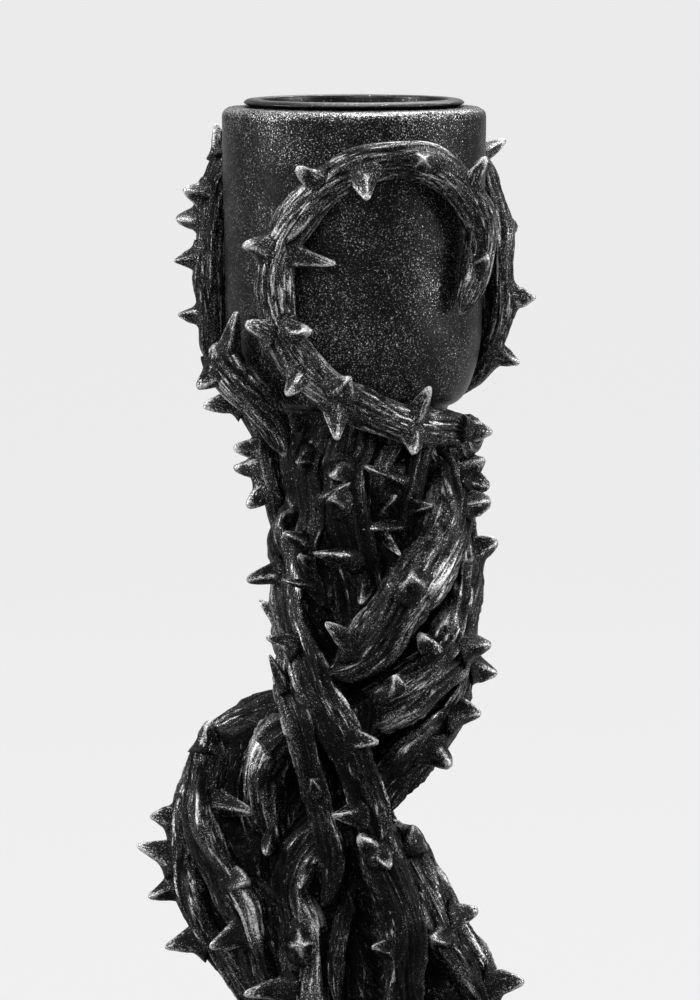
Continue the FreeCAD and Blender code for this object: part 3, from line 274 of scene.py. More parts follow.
# Each vine: its name, its radius, whether its upper end is blunt, and its route as the photograph shows it, in
# pixels: across, down, and nearer than the stem's axis. No route: cup_vine_front's, turned round the cup.
VINE_ROUTES = [
    ("cup_vine_front", MIDDLE_RADIUS, True, [
        (458, 446, 46), (450, 430, 62), (425, 427, 86), (400, 423, 103), (370, 411, 114), (340, 395, 124),
        (310, 370, 130), (290, 345, 130), (278, 312, 126), (275, 280, 126), (282, 245, 130), (303, 210, 141),
        (328, 185, 148), (358, 168, 151), (395, 160, 146), (430, 165, 130), (455, 185, 110), (472, 210, 91),
        (478, 240, 82), (475, 270, 85), (468, 295, 91), (461, 312, 96)]),
    ("cup_vine_right", MIDDLE_RADIUS, True, None),
    ("cup_vine_left", MIDDLE_RADIUS, False, [
        (335, 575, -88), (308, 548, -64), (286, 518, -28), (276, 488, -18), (271, 460, -34), (267, 432, -60),
        (250, 400, -72), (230, 368, -62), (218, 340, -48), (212, 300, -40), (211, 260, -40), (213, 220, -48),
        (218, 185, -60), (228, 160, -82), (247, 143, -106), (268, 141, -124), (285, 157, -134), (291, 185, -136),
        (287, 215, -134), (280, 240, -130)]),
    ("shoulder_vine", MIDDLE_RADIUS, True, [
        (224, 352, 60), (233, 363, 66), (245, 380, 74), (262, 403, 84), (275, 428, 88), (284, 454, 84)]),
    ("neck_vine_left", SLIM_RADIUS, True, [
        (318, 440, 80), (312, 465, 84), (314, 490, 86), (315, 518, 86), (307, 546, 86), (312, 575, 88),
        (323, 604, 92)]),
    ("neck_vine_middle", MIDDLE_RADIUS, True, [
        (350, 438, 88), (341, 472, 92), (346, 508, 94), (357, 550, 92), (370, 582, 88), (390, 599, 82)]),
    ("neck_vine_right", SLIM_RADIUS, True, [
        (420, 444, 58), (417, 470, 66), (411, 505, 74), (407, 540, 74), (404, 568, 72)]),
    ("neck_vine_curl", SLIM_RADIUS, True, [
        (386, 446, 66), (376, 470, 72), (375, 500, 76), (379, 528, 80), (384, 552, 84)]),
    ("cross_vine_upper", BROAD_RADIUS, True, [
        (432, 456, 30), (446, 482, 44), (451, 512, 62), (443, 545, 84), (422, 578, 104), (400, 607, 114),
        (378, 638, 116), (354, 662, 114), (328, 673, 110)]),
    ("cross_vine_middle", BROAD_RADIUS, True, [
        (400, 446, -60), (428, 480, -66), (450, 520, -48), (461, 560, -14), (461, 592, 24), (456, 628, 58),
        (444, 658, 80), (420, 682, 96), (390, 702, 96), (362, 714, 76), (334, 718, 52), (303, 716, 30),
        (268, 716, 16), (236, 732, 6), (208, 765, 2), (193, 805, 4), (188, 845, 8), (192, 885, 14), (208, 925, 22),
        (236, 962, 26), (262, 1002, 24)]),
    ("cross_vine_lower", BROAD_RADIUS, True, [
        (306, 440, -72), (335, 490, -90), (385, 545, -92), (430, 600, -70), (453, 650, -32), (452, 692, 14),
        (438, 720, 38), (416, 748, 56), (394, 774, 62), (366, 798, 62), (335, 822, 60), (306, 848, 62),
        (293, 880, 70), (295, 930, 80), (300, 1000, 88)]),
    ("main_vine_front", MIDDLE_RADIUS, True, [
        (305, 520, 18), (294, 545, 36), (292, 575, 52), (294, 610, 66), (301, 642, 82), (312, 672, 96),
        (328, 705, 108), (346, 740, 110), (361, 780, 106), (371, 820, 104), (379, 858, 106), (393, 888, 108),
        (404, 930, 108), (402, 1000, 106)]),
    ("thin_vine_front", SLIM_RADIUS, False, [
        (287, 640, 54), (290, 675, 82), (296, 712, 98), (306, 745, 104), (315, 782, 104), (325, 820, 102),
        (333, 858, 100), (331, 890, 98), (322, 906, 96)]),
    ("hip_vine_front", BROAD_RADIUS, True, [
        (214, 742, 40), (205, 780, 52), (202, 812, 58), (209, 842, 62), (226, 872, 66), (248, 910, 70),
        (266, 948, 70), (276, 1000, 60)]),
    ("hip_vine_inner", MIDDLE_RADIUS, True, [
        (303, 722, 72), (287, 735, 68), (271, 755, 66), (263, 780, 64), (264, 808, 62), (272, 834, 58),
        (284, 856, 48)]),
    ("hip_vine_thin", THIN_RADIUS, False, [
        (256, 738, 44), (243, 765, 50), (240, 795, 54), (248, 828, 56), (258, 856, 56), (264, 880, 58)]),
    ("root_vine_right", BROAD_RADIUS, True, [
        (388, 830, 40), (401, 853, 52), (416, 882, 60), (434, 918, 62), (455, 958, 56), (476, 1000, 48)]),
    ("root_vine_right_inner", MIDDLE_RADIUS, True, [
        (404, 892, 14), (420, 925, 18), (434, 962, 30), (440, 1004, 56)]),
    ("root_vine_thin", THIN_RADIUS, False, [
        (346, 868, 74), (348, 900, 82), (340, 935, 98), (336, 970, 106), (338, 1004, 108)]),
    ("back_vine_upper", MIDDLE_RADIUS, True, [
        (430, 446, -30), (412, 490, -44), (375, 545, -50), (335, 600, -56), (310, 650, -60), (303, 700, -54),
        (318, 755, -56), (338, 810, -60), (362, 865, -66), (384, 930, -74), (398, 1000, -84)]),
    ("back_vine_side", MIDDLE_RADIUS, True, [
        (300, 562, 0), (297, 600, -16), (300, 638, -52), (310, 676, -106), (333, 718, -124), (356, 765, -108),
        (366, 812, -88), (384, 855, -76), (412, 900, -60), (440, 950, -40), (460, 1000, -28)]),
    ("hip_vine_back", BROAD_RADIUS, True, [
        (305, 738, -44), (280, 746, -48), (246, 775, -44), (222, 815, -44), (216, 858, -42), (230, 905, -46),
        (262, 950, -62), (300, 1000, -84)]),
    ("root_vine_back", MIDDLE_RADIUS, True, [
        (300, 800, -66), (285, 850, -80), (284, 900, -92), (300, 950, -98), (330, 1000, -104)])]
CUP_VINE_RIGHT_TURN = 135.0

# The core that the vines are wound on: pixel across, down, nearer, and radius in pixels.
CORE_PIXELS = [
    (356, 428, 0, 62), (362, 470, 4, 66), (368, 530, 8, 64), (374, 590, 8, 62), (374, 640, 4, 58),
    (364, 690, 0, 47), (352, 730, -2, 42), (341, 770, -2, 44), (331, 815, -4, 51), (318, 860, -6, 54),
    (322, 910, -2, 58), (336, 960, 0, 60), (346, 1010, 0, 62)]

# Each vine's thorns that the photograph shows, in pixels: base across and down, tip across and down, and how much
# nearer the tip is. The last three of neck_vine_left and those of neck_vine_curl are small and in the scene only.
THORN_PIXELS = {
    "cup_vine_front": [
        (318, 192, 297, 168, 14), (360, 180, 366, 200, 34), (425, 165, 425, 160, 36), (475, 175, 486, 157, 8),
        (275, 253, 243, 243, 14), (298, 262, 336, 265, 16), (272, 328, 245, 325, 4), (290, 335, 311, 330, 30),
        (349, 395, 349, 378, 30), (412, 415, 432, 386, 20), (338, 412, 335, 440, 22), (405, 428, 414, 450, 24),
        (296, 372, 288, 396, 30), (484, 262, 487, 258, 30), (456, 440, 482, 431, 4)],
    "cup_vine_left": [
        (222, 168, 214, 124, 0), (216, 200, 193, 193, 16), (203, 222, 186, 220, -8), (208, 263, 175, 261, 4),
        (200, 320, 186, 315, -6), (240, 398, 203, 404, 8), (270, 446, 241, 448, 6), (272, 466, 240, 469, 2),
        (276, 492, 250, 504, 6)],
    "shoulder_vine": [
        (231, 360, 235, 310, 10), (234, 374, 198, 387, 16)],
    "cross_vine_upper": [
        (455, 512, 487, 502, 4), (446, 482, 473, 482, 4), (438, 458, 464, 458, 6), (413, 590, 413, 576, 36),
        (356, 655, 326, 622, 22)],
    "cup_vine_right": [
        (503, 292, 522, 298, 4), (494, 358, 516, 362, 4)],
    "cross_vine_middle": [
        (461, 553, 483, 547, 4), (460, 640, 484, 646, 6), (440, 655, 419, 634, 26), (392, 690, 397, 676, 34),
        (184, 828, 163, 816, 4), (178, 852, 137, 845, 8), (182, 892, 149, 899, 8), (206, 932, 165, 948, 14)],
    "cross_vine_lower": [
        (454, 672, 497, 674, 2), (446, 704, 463, 711, 10), (418, 745, 452, 766, 20), (296, 948, 300, 944, 34),
        (288, 985, 244, 990, 18)],
    "main_vine_front": [
        (350, 740, 378, 742, 22), (366, 816, 332, 817, 20), (380, 862, 390, 866, 36), (372, 845, 360, 836, 34),
        (404, 945, 372, 945, 20), (285, 580, 246, 578, 6), (292, 645, 266, 637, 10)],
    "neck_vine_right": [
        (398, 476, 362, 468, 16), (404, 500, 431, 506, 16), (398, 528, 362, 526, 14)],
    "neck_vine_middle": [
        (356, 490, 330, 497, 20), (352, 468, 333, 477, 24), (352, 556, 314, 552, 20), (372, 590, 362, 606, 24)],
    "neck_vine_left": [
        (312, 534, 282, 533, 16), (312, 582, 281, 583, 20), (318, 496, 351, 484, 24), (312, 566, 300, 556, 10),
        (316, 452, 300, 462, 10)],
    "thin_vine_front": [
        (284, 690, 268, 656, 6), (315, 782, 312, 780, 30)],
    "hip_vine_front": [
        (213, 752, 208, 722, 10), (222, 808, 258, 807, 26), (228, 868, 246, 882, 34), (246, 930, 209, 945, 16)],
    "hip_vine_inner": [
        (284, 842, 266, 855, 24)],
    "root_vine_right": [
        (405, 862, 413, 828, 4), (447, 922, 478, 911, -14), (455, 938, 416, 938, 28), (482, 985, 524, 979, 10)],
    "neck_vine_curl": [
        (379, 512, 398, 498, 16), (384, 546, 401, 556, 10)]}

# How each vine that reaches the foot runs out: turn about the axis, from the right-hand side towards the back.
ROOT_TURNS = {
    "cross_vine_middle": 178.0, "cross_vine_lower": -104.0, "main_vine_front": -66.0,
    "hip_vine_front": -142.0, "root_vine_right": -8.0, "root_vine_right_inner": -36.0,
    "back_vine_upper": 68.0, "back_vine_side": 30.0, "hip_vine_back": 142.0, "root_vine_back": 105.0}
ROOT_REACH_SHARES = (0.46, 0.66, 0.88)
ROOT_RISE_SHARES = (0.40, 0.06, 0.0)
ROOT_SWAY = 9.0

# Slimmer roots between the vines' ends, on the same terms.
SIDE_ROOT_TURNS = (-123.0, -85.0, -22.0, 11.0, 49.0, 86.0, 123.0, 160.0, -161.0)
SIDE_ROOT_TWIST = 55.0
SIDE_ROOT_RISE = 34.0
SIDE_ROOT_RISE_SHARES = (1.0, 0.84, 1.1)
SIDE_ROOT_STEP_SHARES = (1.0, 0.72, 0.45)

UP = np.array((0.0, 0.0, 1.0))


def seed_of(name):
    """A number from a name that is the same in every run."""
    return zlib.crc32(name.encode())


def unit(vectors):
    return vectors / np.maximum(np.linalg.norm(vectors, axis=-1, keepdims=True), 1e-9)


def outward(points):
    """The level direction from the upright axis to each point."""
    return unit(points * (1 - UP))


def directions(points):
    ends = np.concatenate([points[:1], points, points[-1:]])
    return unit(ends[2:] - ends[:-2])


def lengths(points):
    """How far along its route each point lies."""
    return np.concatenate([[0.0], np.cumsum(np.linalg.norm(np.diff(points, axis=0), axis=1))])


# Noise

NOISE_CELLS = 256
NOISE_TABLE = np.tile(np.random.default_rng(7).permutation(NOISE_CELLS), 2)
NOISE_SLOPES = unit(np.random.default_rng(11).normal(size=(NOISE_CELLS, 3)))


def noise(points, seed=0):
    """Smooth gradient noise of about -1 to 1 at points of shape (..., 3)."""
    p = np.asarray(points, float) + np.array((seed % 251, seed % 241, seed % 239)) * 0.37
    cell = np.floor(p).astype(int)
    part = p - cell
    ease = part ** 3 * (part * (part * 6 - 15) + 10)
    total = 0.0
    for corner in np.ndindex(2, 2, 2):
        x, y, z = np.moveaxis((cell + corner) % NOISE_CELLS, -1, 0)
        key = NOISE_TABLE[NOISE_TABLE[NOISE_TABLE[x] + y] + z]
        weight = np.prod(np.abs(1 - np.array(corner) - ease), axis=-1)
        total = total + weight * np.sum(NOISE_SLOPES[key] * (part - corner), axis=-1)
    return total * 1.7


# Points seen in the photograph


def sight(row):
    """How much a line of sight through a row of pixels rises for its length."""
    rise = (MIDDLE_PIXELS[1] - row) / FOCAL_PIXELS
    return (rise * math.cos(PITCH) - math.sin(PITCH)) / (math.cos(PITCH) + rise * math.sin(PITCH))


EYE = ((MIDDLE_PIXELS[0] - AXIS_PIXEL) * PIXEL_SIZE, -VIEW_DISTANCE, CUP_RIM_HEIGHT - VIEW_DISTANCE * sight(RIM_PIXEL))


def seen_point(across, down, nearer):
    """The place of a pixel at a distance in front of the stem's axis."""
    rise = (MIDDLE_PIXELS[1] - down) / FOCAL_PIXELS
    reach = VIEW_DISTANCE - nearer * PIXEL_SIZE
    spread = reach / (math.cos(PITCH) + rise * math.sin(PITCH))
    x = EYE[0] + spread * (across - MIDDLE_PIXELS[0]) / FOCAL_PIXELS
    return np.array((x, -nearer * PIXEL_SIZE, EYE[2] + reach * sight(down)))


# Surfaces that the vines lie on


def cup_radius(height):
    """The cup's outer radius at each height."""
    height = np.asarray(height, float)
    upper = CUP_WAIST_RADIUS + np.clip((height - CUP_ROUND_HEIGHT) / CUP_STRAIGHT_DEPTH, 0, 1) * (
        CUP_RIM_RADIUS - CUP_WAIST_RADIUS)
    share = np.clip((CUP_ROUND_HEIGHT - height) / CUP_ROUND_DEPTH, 0, 1)
    lower = CUP_NECK_RADIUS + (CUP_WAIST_RADIUS - CUP_NECK_RADIUS) * np.sqrt(1.0 - share ** 2)
    return np.where(height >= CUP_ROUND_HEIGHT, upper, np.where(height <= CUP_NECK_HEIGHT, CUP_NECK_RADIUS, lower))


def cup_reach(height, room):
    """How far from the axis a point has to lie at each height to keep its room from the cup."""
    reach = np.zeros(np.shape(height))
    for share in CUP_PROBE_SHARES:
        probe = height + share * room
        wide = cup_radius(probe) + room * math.sqrt(1.0 - share ** 2)
        reach = np.where(probe >= CUP_BOTTOM, np.maximum(reach, wide), reach)
    return reach


def dome_height(radius):
    """The height of the foot's dome at each radius."""
    reach = np.minimum(radius, FOOT_RADIUS)
    return FOOT_DOME_TOP - FOOT_SPHERE_RADIUS + np.sqrt(FOOT_SPHERE_RADIUS ** 2 - reach ** 2)


def core_rows():
    """The core's heights, centres and radii, from the cup down to the foot."""
    rows = []
    for across, down, nearer, radius in CORE_PIXELS:
        centre = seen_point(across, down, nearer)
        rows.append((centre[2], centre[0], centre[1], radius * PIXEL_SIZE))
    rows[0] = (CUP_BOTTOM,) + rows[0][1:]
    rows.append((FOOT_BOSS_TOP, 0.0, 0.0, CORE_FOOT_RADIUS))
    return np.array(rows)


CORE_ROWS = core_rows()


def core_at(height):
    """The core's centre x, centre y and radius at each height."""
    height = np.clip(np.asarray(height, float), CORE_ROWS[-1, 0], CORE_ROWS[0, 0])
    lower = np.clip(np.searchsorted(-CORE_ROWS[:, 0], -height), 1, len(CORE_ROWS) - 1)
    a, b = CORE_ROWS[lower - 1], CORE_ROWS[lower]
    share = (a[..., 0] - height) / (a[..., 0] - b[..., 0])
    share = (share * share * (3.0 - 2.0 * share))[..., None]
    values = a[..., 1:] + (b[..., 1:] - a[..., 1:]) * share
    return values[..., 0], values[..., 1], values[..., 2]


def push_off_core(points, room):
    """How far each point has to move to keep its room from the cup, the core and the foot."""
    push = np.zeros(points.shape)
    reach = np.maximum(np.hypot(points[:, 0], points[:, 1]), VINE_GAP)
    away = points * (1 - UP) / reach[:, None]
    z = points[:, 2]
    into_floor = z - (CUP_BOTTOM - room)
    into_side = np.where(into_floor > 0, cup_reach(z, room) - reach, 0.0)
    hit = into_side > 0
    sideways = hit & (into_side < into_floor)
    down = hit & ~sideways
    push[sideways] += away[sideways] * into_side[sideways][:, None]
    push[down] -= UP * into_floor[down][:, None]
    x, y, radius = core_at(z)
    from_core = np.stack([points[:, 0] - x, points[:, 1] - y, np.zeros(len(points))], axis=1)
    distance = np.maximum(np.linalg.norm(from_core, axis=1), VINE_GAP)
    share = np.where((z < CUP_BOTTOM) & (distance < radius + room), (radius + room - distance) / distance, 0.0)
    push += from_core * share[:, None]
    into_dome = dome_height(reach) + room - z
    push += UP * np.maximum(into_dome, 0.0)[:, None]
    return push


# Vine routes


def end_slope(times, values):
    """The slope at times[0] of the curve through the first four values."""
    slope = np.zeros(values.shape[1])
    for j in range(4):
        if j == 0:
            weight = sum(1.0 / (times[0] - times[k]) for k in range(1, 4))
        else:
            weight = 1.0 / (times[j] - times[0])
            for k in range(1, 4):
                if k != j:
                    weight *= (times[0] - times[k]) / (times[j] - times[k])
        slope = slope + weight * values[j]
    return slope


def spline(points):
    """A smooth curve through points, as a function of its parameter, and its parameter's stops."""
    points = np.array(points, float)
    times = lengths(points)
    n = len(points)
    matrix = np.zeros((n, n))
    right = np.zeros((n, 3))
    matrix[0, 0] = 1.0
    matrix[-1, -1] = 1.0
    right[0] = end_slope(times[:4], points[:4])
    right[-1] = end_slope(times[-1:-5:-1], points[-1:-5:-1])
    step = np.diff(times)
    for i in range(1, n - 1):
        matrix[i, i - 1] = 1.0 / step[i - 1]
        matrix[i, i] = 2.0 / step[i - 1] + 2.0 / step[i]
        matrix[i, i + 1] = 1.0 / step[i]
        right[i] = 3.0 * ((points[i] - points[i - 1]) / step[i - 1] ** 2 + (points[i + 1] - points[i]) / step[i] ** 2)
    slopes = np.linalg.solve(matrix, right)

    def at(t):
        i = np.clip(np.searchsorted(times, t, side="right") - 1, 0, n - 2)
        h = step[i][:, None]
        u = ((t - times[i]) / step[i])[:, None]
        return ((2 * u ** 3 - 3 * u ** 2 + 1) * points[i] + (u ** 3 - 2 * u ** 2 + u) * h * slopes[i]
                + (-2 * u ** 3 + 3 * u ** 2) * points[i + 1] + (u ** 3 - u ** 2) * h * slopes[i + 1])

    return at, times


def even_points(points, step, least):
    """Points at an even step along a smooth curve through the given points."""
    at, times = spline(points)
    fine = np.linspace(times[0], times[-1], 80 * len(times))
    path = at(fine)
    along = lengths(path)
    count = max(int(along[-1] / step), least)
    return at(np.interp(np.linspace(0, along[-1], count + 1), along, fine))


def root_points(start, turn):
    """The points at which a vine runs out over the foot in a direction."""
    points = []
    side = 1.0
    for reach_share, rise_share in zip(ROOT_REACH_SHARES, ROOT_RISE_SHARES):
        bearing = math.radians(turn) + side * math.radians(ROOT_SWAY) * reach_share
        reach = FOOT_RADIUS * reach_share
        rest = float(dome_height(reach)) + MIDDLE_RADIUS
        height = rest + (start[2] - rest) * rise_share
        points.append(np.array((reach * math.cos(bearing), reach * math.sin(bearing), height)))
        side = -side
    return points


def side_root_points(number):
    """The points of a slimmer root that comes down the core and runs out over the foot."""
    turn = SIDE_ROOT_TURNS[number]
    rise = SIDE_ROOT_RISE * SIDE_ROOT_RISE_SHARES[number % len(SIDE_ROOT_RISE_SHARES)]
    points = []
    for step_share in SIDE_ROOT_STEP_SHARES:
        height = FOOT_BOSS_TOP + rise * step_share
        x, y, radius = (float(value) for value in core_at(height))
        bearing = math.radians(turn - SIDE_ROOT_TWIST * step_share)
        reach = radius + SLIM_RADIUS + VINE_GAP
        points.append(np.array((x + reach * math.cos(bearing), y + reach * math.sin(bearing), height)))
    return points + root_points(points[-1], turn)


def taper(distance, blunt):
    """How much of its radius a vine has at a distance from its end."""
    least = BLUNT_SHARE if blunt else TIP_SHARE
    share = np.minimum(distance / (BLUNT_TAPER if blunt else TIP_TAPER), 1.0)
    return least + (1.0 - least) * np.sqrt(share * (2.0 - share))


class Vine:
    """A vine's points at an even step, and its radius at each."""

    def __init__(self, name, points, radius, blunt):
        self.name = name
        self.radius = radius
        if name in ROOT_TURNS:
            points = list(points) + root_points(points[-1], ROOT_TURNS[name])
        self.points = even_points(points, SAMPLE_STEP, len(points))
        steps = np.arange(len(self.points)) * SAMPLE_STEP
        swell = 1.0 + SWELL_SHARE * np.sin(steps / SWELL_LENGTH * math.tau)
        self.radii = radius * swell * np.minimum(taper(steps, blunt), taper(steps[::-1], False))


def list_vines():
    vines = [Vine("side_root_" + str(number + 1), side_root_points(number), SLIM_RADIUS, False)
             for number in range(len(SIDE_ROOT_TURNS))]
    sine, cosine = math.sin(math.radians(CUP_VINE_RIGHT_TURN)), math.cos(math.radians(CUP_VINE_RIGHT_TURN))
    for name, radius, blunt, route in VINE_ROUTES:
        points = [seen_point(*row) for row in route or VINE_ROUTES[0][3]]
        if not route:
            points = [np.array((x * cosine - y * sine, x * sine + y * cosine, z)) for x, y, z in points[1:]]
        vines.append(Vine(name, points, radius, blunt))
    return vines


def settle(vines):
    """Moves the vines apart until each has its gap to the others, the cup, the core and the foot."""
    sizes = [len(vine.points) for vine in vines]
    starts = np.concatenate([[0], np.cumsum(sizes)])
    points = np.concatenate([vine.points for vine in vines])
    radii = np.concatenate([vine.radii for vine in vines])
    owner = np.repeat(np.arange(len(vines)), sizes)
    before = np.arange(len(points)) - 1
    after = np.arange(len(points)) + 1
    before[starts[:-1]] = starts[:-1]
    after[starts[1:] - 1] = starts[1:] - 1
    slack = SETTLE_STRIDE * SETTLE_REFRESH
    for turn in range(SETTLE_ROUNDS):
        if turn % SETTLE_REFRESH == 0:
            first, second = [], []
            for number in range(len(vines) - 1):
                mine = slice(starts[number], starts[number + 1])
                gap = points[mine][:, None, :] - points[None, starts[number + 1]:, :]
                room = radii[mine][:, None] + radii[None, starts[number + 1]:] + VINE_GAP + slack
                a, b = np.nonzero(np.einsum("ijk,ijk->ij", gap, gap) < room ** 2)
                first.append(a + starts[number])
                second.append(b + starts[number + 1])
            first, second = np.concatenate(first), np.concatenate(second)
            rooms = radii[first] + radii[second] + VINE_GAP
        push = push_off_core(points, radii + VINE_GAP)
        apart = points[first] - points[second]
        distance = np.linalg.norm(apart, axis=1)
        share = np.where((distance > 0) & (distance < rooms),
                         SETTLE_SHARE * (rooms - distance) / np.maximum(distance, 1e-9), 0.0)
        np.add.at(push, first, apart * share[:, None])
        np.add.at(push, second, -apart * share[:, None])
        for _ in range(2):
            push = (push[before] + 2 * push + push[after]) * 0.25
        length = np.linalg.norm(push, axis=1, keepdims=True)
        points = points + push * np.where(length > SETTLE_STRIDE, SETTLE_STRIDE / np.maximum(length, 1e-9), 1.0)
    for number, vine in enumerate(vines):
        vine.points = points[starts[number]:starts[number + 1]]
    return points, radii, owner


# Thorns


def thorn_is_clear(cloud, number, root, heading, length, radius):
    """Whether a thorn on a vine misses the other vines, the cup, the core and the foot."""
    points, radii, owner = cloud
    share = np.arange(1, THORN_PROBES + 1) / THORN_PROBES
    probes = root + heading * (radius + length * share)[:, None]
    room = THORN_BASE_SHARE * radius * (1.0 - share * (1.0 - THORN_TIP_SHARE)) + VINE_GAP
    if np.any(np.linalg.norm(push_off_core(probes, room), axis=1) > 0):
        return False
    others = owner != number
    gaps = np.linalg.norm(probes[:, None, :] - points[others][None], axis=2)
    return not np.any(gaps < room[:, None] + radii[others][None])


def clear_thorn(cloud, number, root, wanted, length, radius):
    """The heading and length nearest to the wanted ones with which a thorn is clear, if there are any."""
    away = outward(root)
    for short_share in THORN_SHORTEN_SHARES:
        for turn in range(THORN_TURNS + 1):
            share = turn / THORN_TURNS
            heading = unit(wanted * (1.0 - share) + away * share)
            if thorn_is_clear(cloud, number, root, heading, length * short_share, radius):
                return heading, length * short_share
    return None


def turned(vector, axis, degrees):
    """The vector turned about an axis of length one."""
    angle = math.radians(degrees)
    return (vector * math.cos(angle) + np.cross(axis, vector) * math.sin(angle)
            + axis * np.dot(axis, vector) * (1 - math.cos(angle)))


def seen_thorn(vine, number, cloud, base_x, base_y, tip_x, tip_y, nearer):
    """A thorn on the vine's ring that looks nearest to its base in the photograph."""
    free = vine.name.startswith("neck_vine")
    nearer += NECK_THORN_LIFT if free else 0.0
    rings = range(RING_EVERY, len(vine.points) - RING_EVERY, RING_EVERY)
    index = min(rings, key=lambda ring: np.linalg.norm(
        vine.points[ring] - seen_point(base_x, base_y, -vine.points[ring][1] / PIXEL_SIZE)))
    root = vine.points[index]
    wanted = seen_point(tip_x, tip_y, -root[1] / PIXEL_SIZE + nearer) - root
    length = max(np.linalg.norm(wanted) - vine.radii[index], THORN_LENGTH * min(THORN_LENGTH_SHARES))
    choice = (unit(wanted), length) if free else clear_thorn(
        cloud, number, root, unit(wanted), length, vine.radii[index])
    return (index, root, *choice) if choice else None


def hidden_thorns(vine, number, cloud, taken):
    """Thorns at an even spacing where the photograph doesn't show the vine."""
    bottom = seen_point(AXIS_PIXEL, 2 * MIDDLE_PIXELS[1], 0)[2]
    stride = int(THORN_SPACING / SAMPLE_STEP)
    along = directions(vine.points)
    found = []
    for count, index in enumerate(range(stride, len(vine.points) - stride, stride)):
        point = vine.points[index]
        hidden = point[1] > 0 or point[2] < bottom
        if not hidden or any(abs(index - other) < stride for other in taken):
            continue
        lift = outward(point) * math.cos(math.radians(THORN_LIFT)) + UP * math.sin(math.radians(THORN_LIFT))
        across = unit(lift - along[index] * np.dot(lift, along[index]))
        heading = turned(across, along[index], THORN_ROLL_SWING * math.sin(math.radians(THORN_ROLL_STEP * count)))
        length = THORN_LENGTH * THORN_LENGTH_SHARES[(count + number) % len(THORN_LENGTH_SHARES)]
        choice = clear_thorn(cloud, number, point, heading, length, vine.radii[index])
        if choice:
            found.append((index, point, *choice))
            taken.append(index)
    return found


def list_thorns(vines, cloud):
    """Each vine's thorns: (index, root, heading, length)."""
    thorns = []
    for number, vine in enumerate(vines):
        seen = [seen_thorn(vine, number, cloud, *row) for row in THORN_PIXELS.get(vine.name, ())]
        seen = [thorn for thorn in seen if thorn]
        thorns.append(seen + hidden_thorns(vine, number, cloud, [thorn[0] for thorn in seen]))
    return thorns


# Meshes


def new_piece(name, node, shape, body, material):
    """A smooth mesh in metres in place of a node, with a value of wear and painted light and a grain place for each
    vertex.
    """
    verts, faces, wear, grain = shape
    mesh = bpy.data.meshes.new(name)
    mesh.from_pydata((verts * MM).tolist(), [], faces)
    mesh.shade_smooth()
    values = mesh.attributes.new("wear", "FLOAT", "POINT")
    values.data.foreach_set("value", np.clip(wear, 0, 1).astype(np.float32))
    places = mesh.attributes.new("grain", "FLOAT_VECTOR", "POINT")
    places.data.foreach_set("vector", grain.astype(np.float32).reshape(-1))
    mesh.materials.append(material)
    piece = bpy.data.objects.new(name, mesh)
    bpy.context.scene.collection.objects.link(piece)
    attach(piece, body)
    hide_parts(node)


def turns(columns):
    """Even angles about an axis."""
    return np.arange(columns) / columns * math.tau


def wrapped(angle):
    """The same angle between minus and plus half a turn."""
    return np.mod(angle + math.pi, math.tau) - math.pi


def around(angle, height, radius=1.0):
    """Points about the upright axis, of shape (..., 3)."""
    return np.stack(np.broadcast_arrays(radius * np.cos(angle), radius * np.sin(angle), height), axis=-1)


def grid_faces(rows, columns):
    """Quads between the rows of a grid of vertices that closes on itself sideways."""
    faces = []
    for a in range(0, (rows - 1) * columns, columns):
        b = a + columns
        for column in range(columns):
            beside = (column + 1) % columns
            faces.append((a + column, a + beside, b + beside, b + column))
    return faces


def tube_faces(rows, columns):
    """The faces of a tube that is closed at both ends."""
    return grid_faces(rows, columns) + [
        tuple(range(columns - 1, -1, -1)), tuple(range((rows - 1) * columns, rows * columns))]


def frames(points):
    """Directions and two side vectors along a route, turned as little as possible."""
    along = directions(points)
    side = np.cross(along[0], UP if abs(along[0][2]) < 0.9 else np.array((1.0, 0.0, 0.0)))
    sides = []
    for direction in along:
        side = unit(side - direction * np.dot(side, direction))
        sides.append(side)
    sides = np.array(sides)
    return along, sides, np.cross(along, sides)


def smoothstep(low, high, value):
    share = np.clip((value - low) / (high - low), 0, 1)
    return share * share * (3 - 2 * share)


def partly(least, share):
    """A factor between a least value and one."""
    return least + (1 - least) * share


def ridged(values, width):
    """One on the crest lines where smooth noise passes through zero, falling to zero beside them."""
    return np.clip(1.0 - np.abs(values) / width, 0, 1)


def bump_at(value, middle, width):
    """One where a value is at its middle, falling off smoothly beside it."""
    return np.exp(-((value - middle) / width) ** 2)


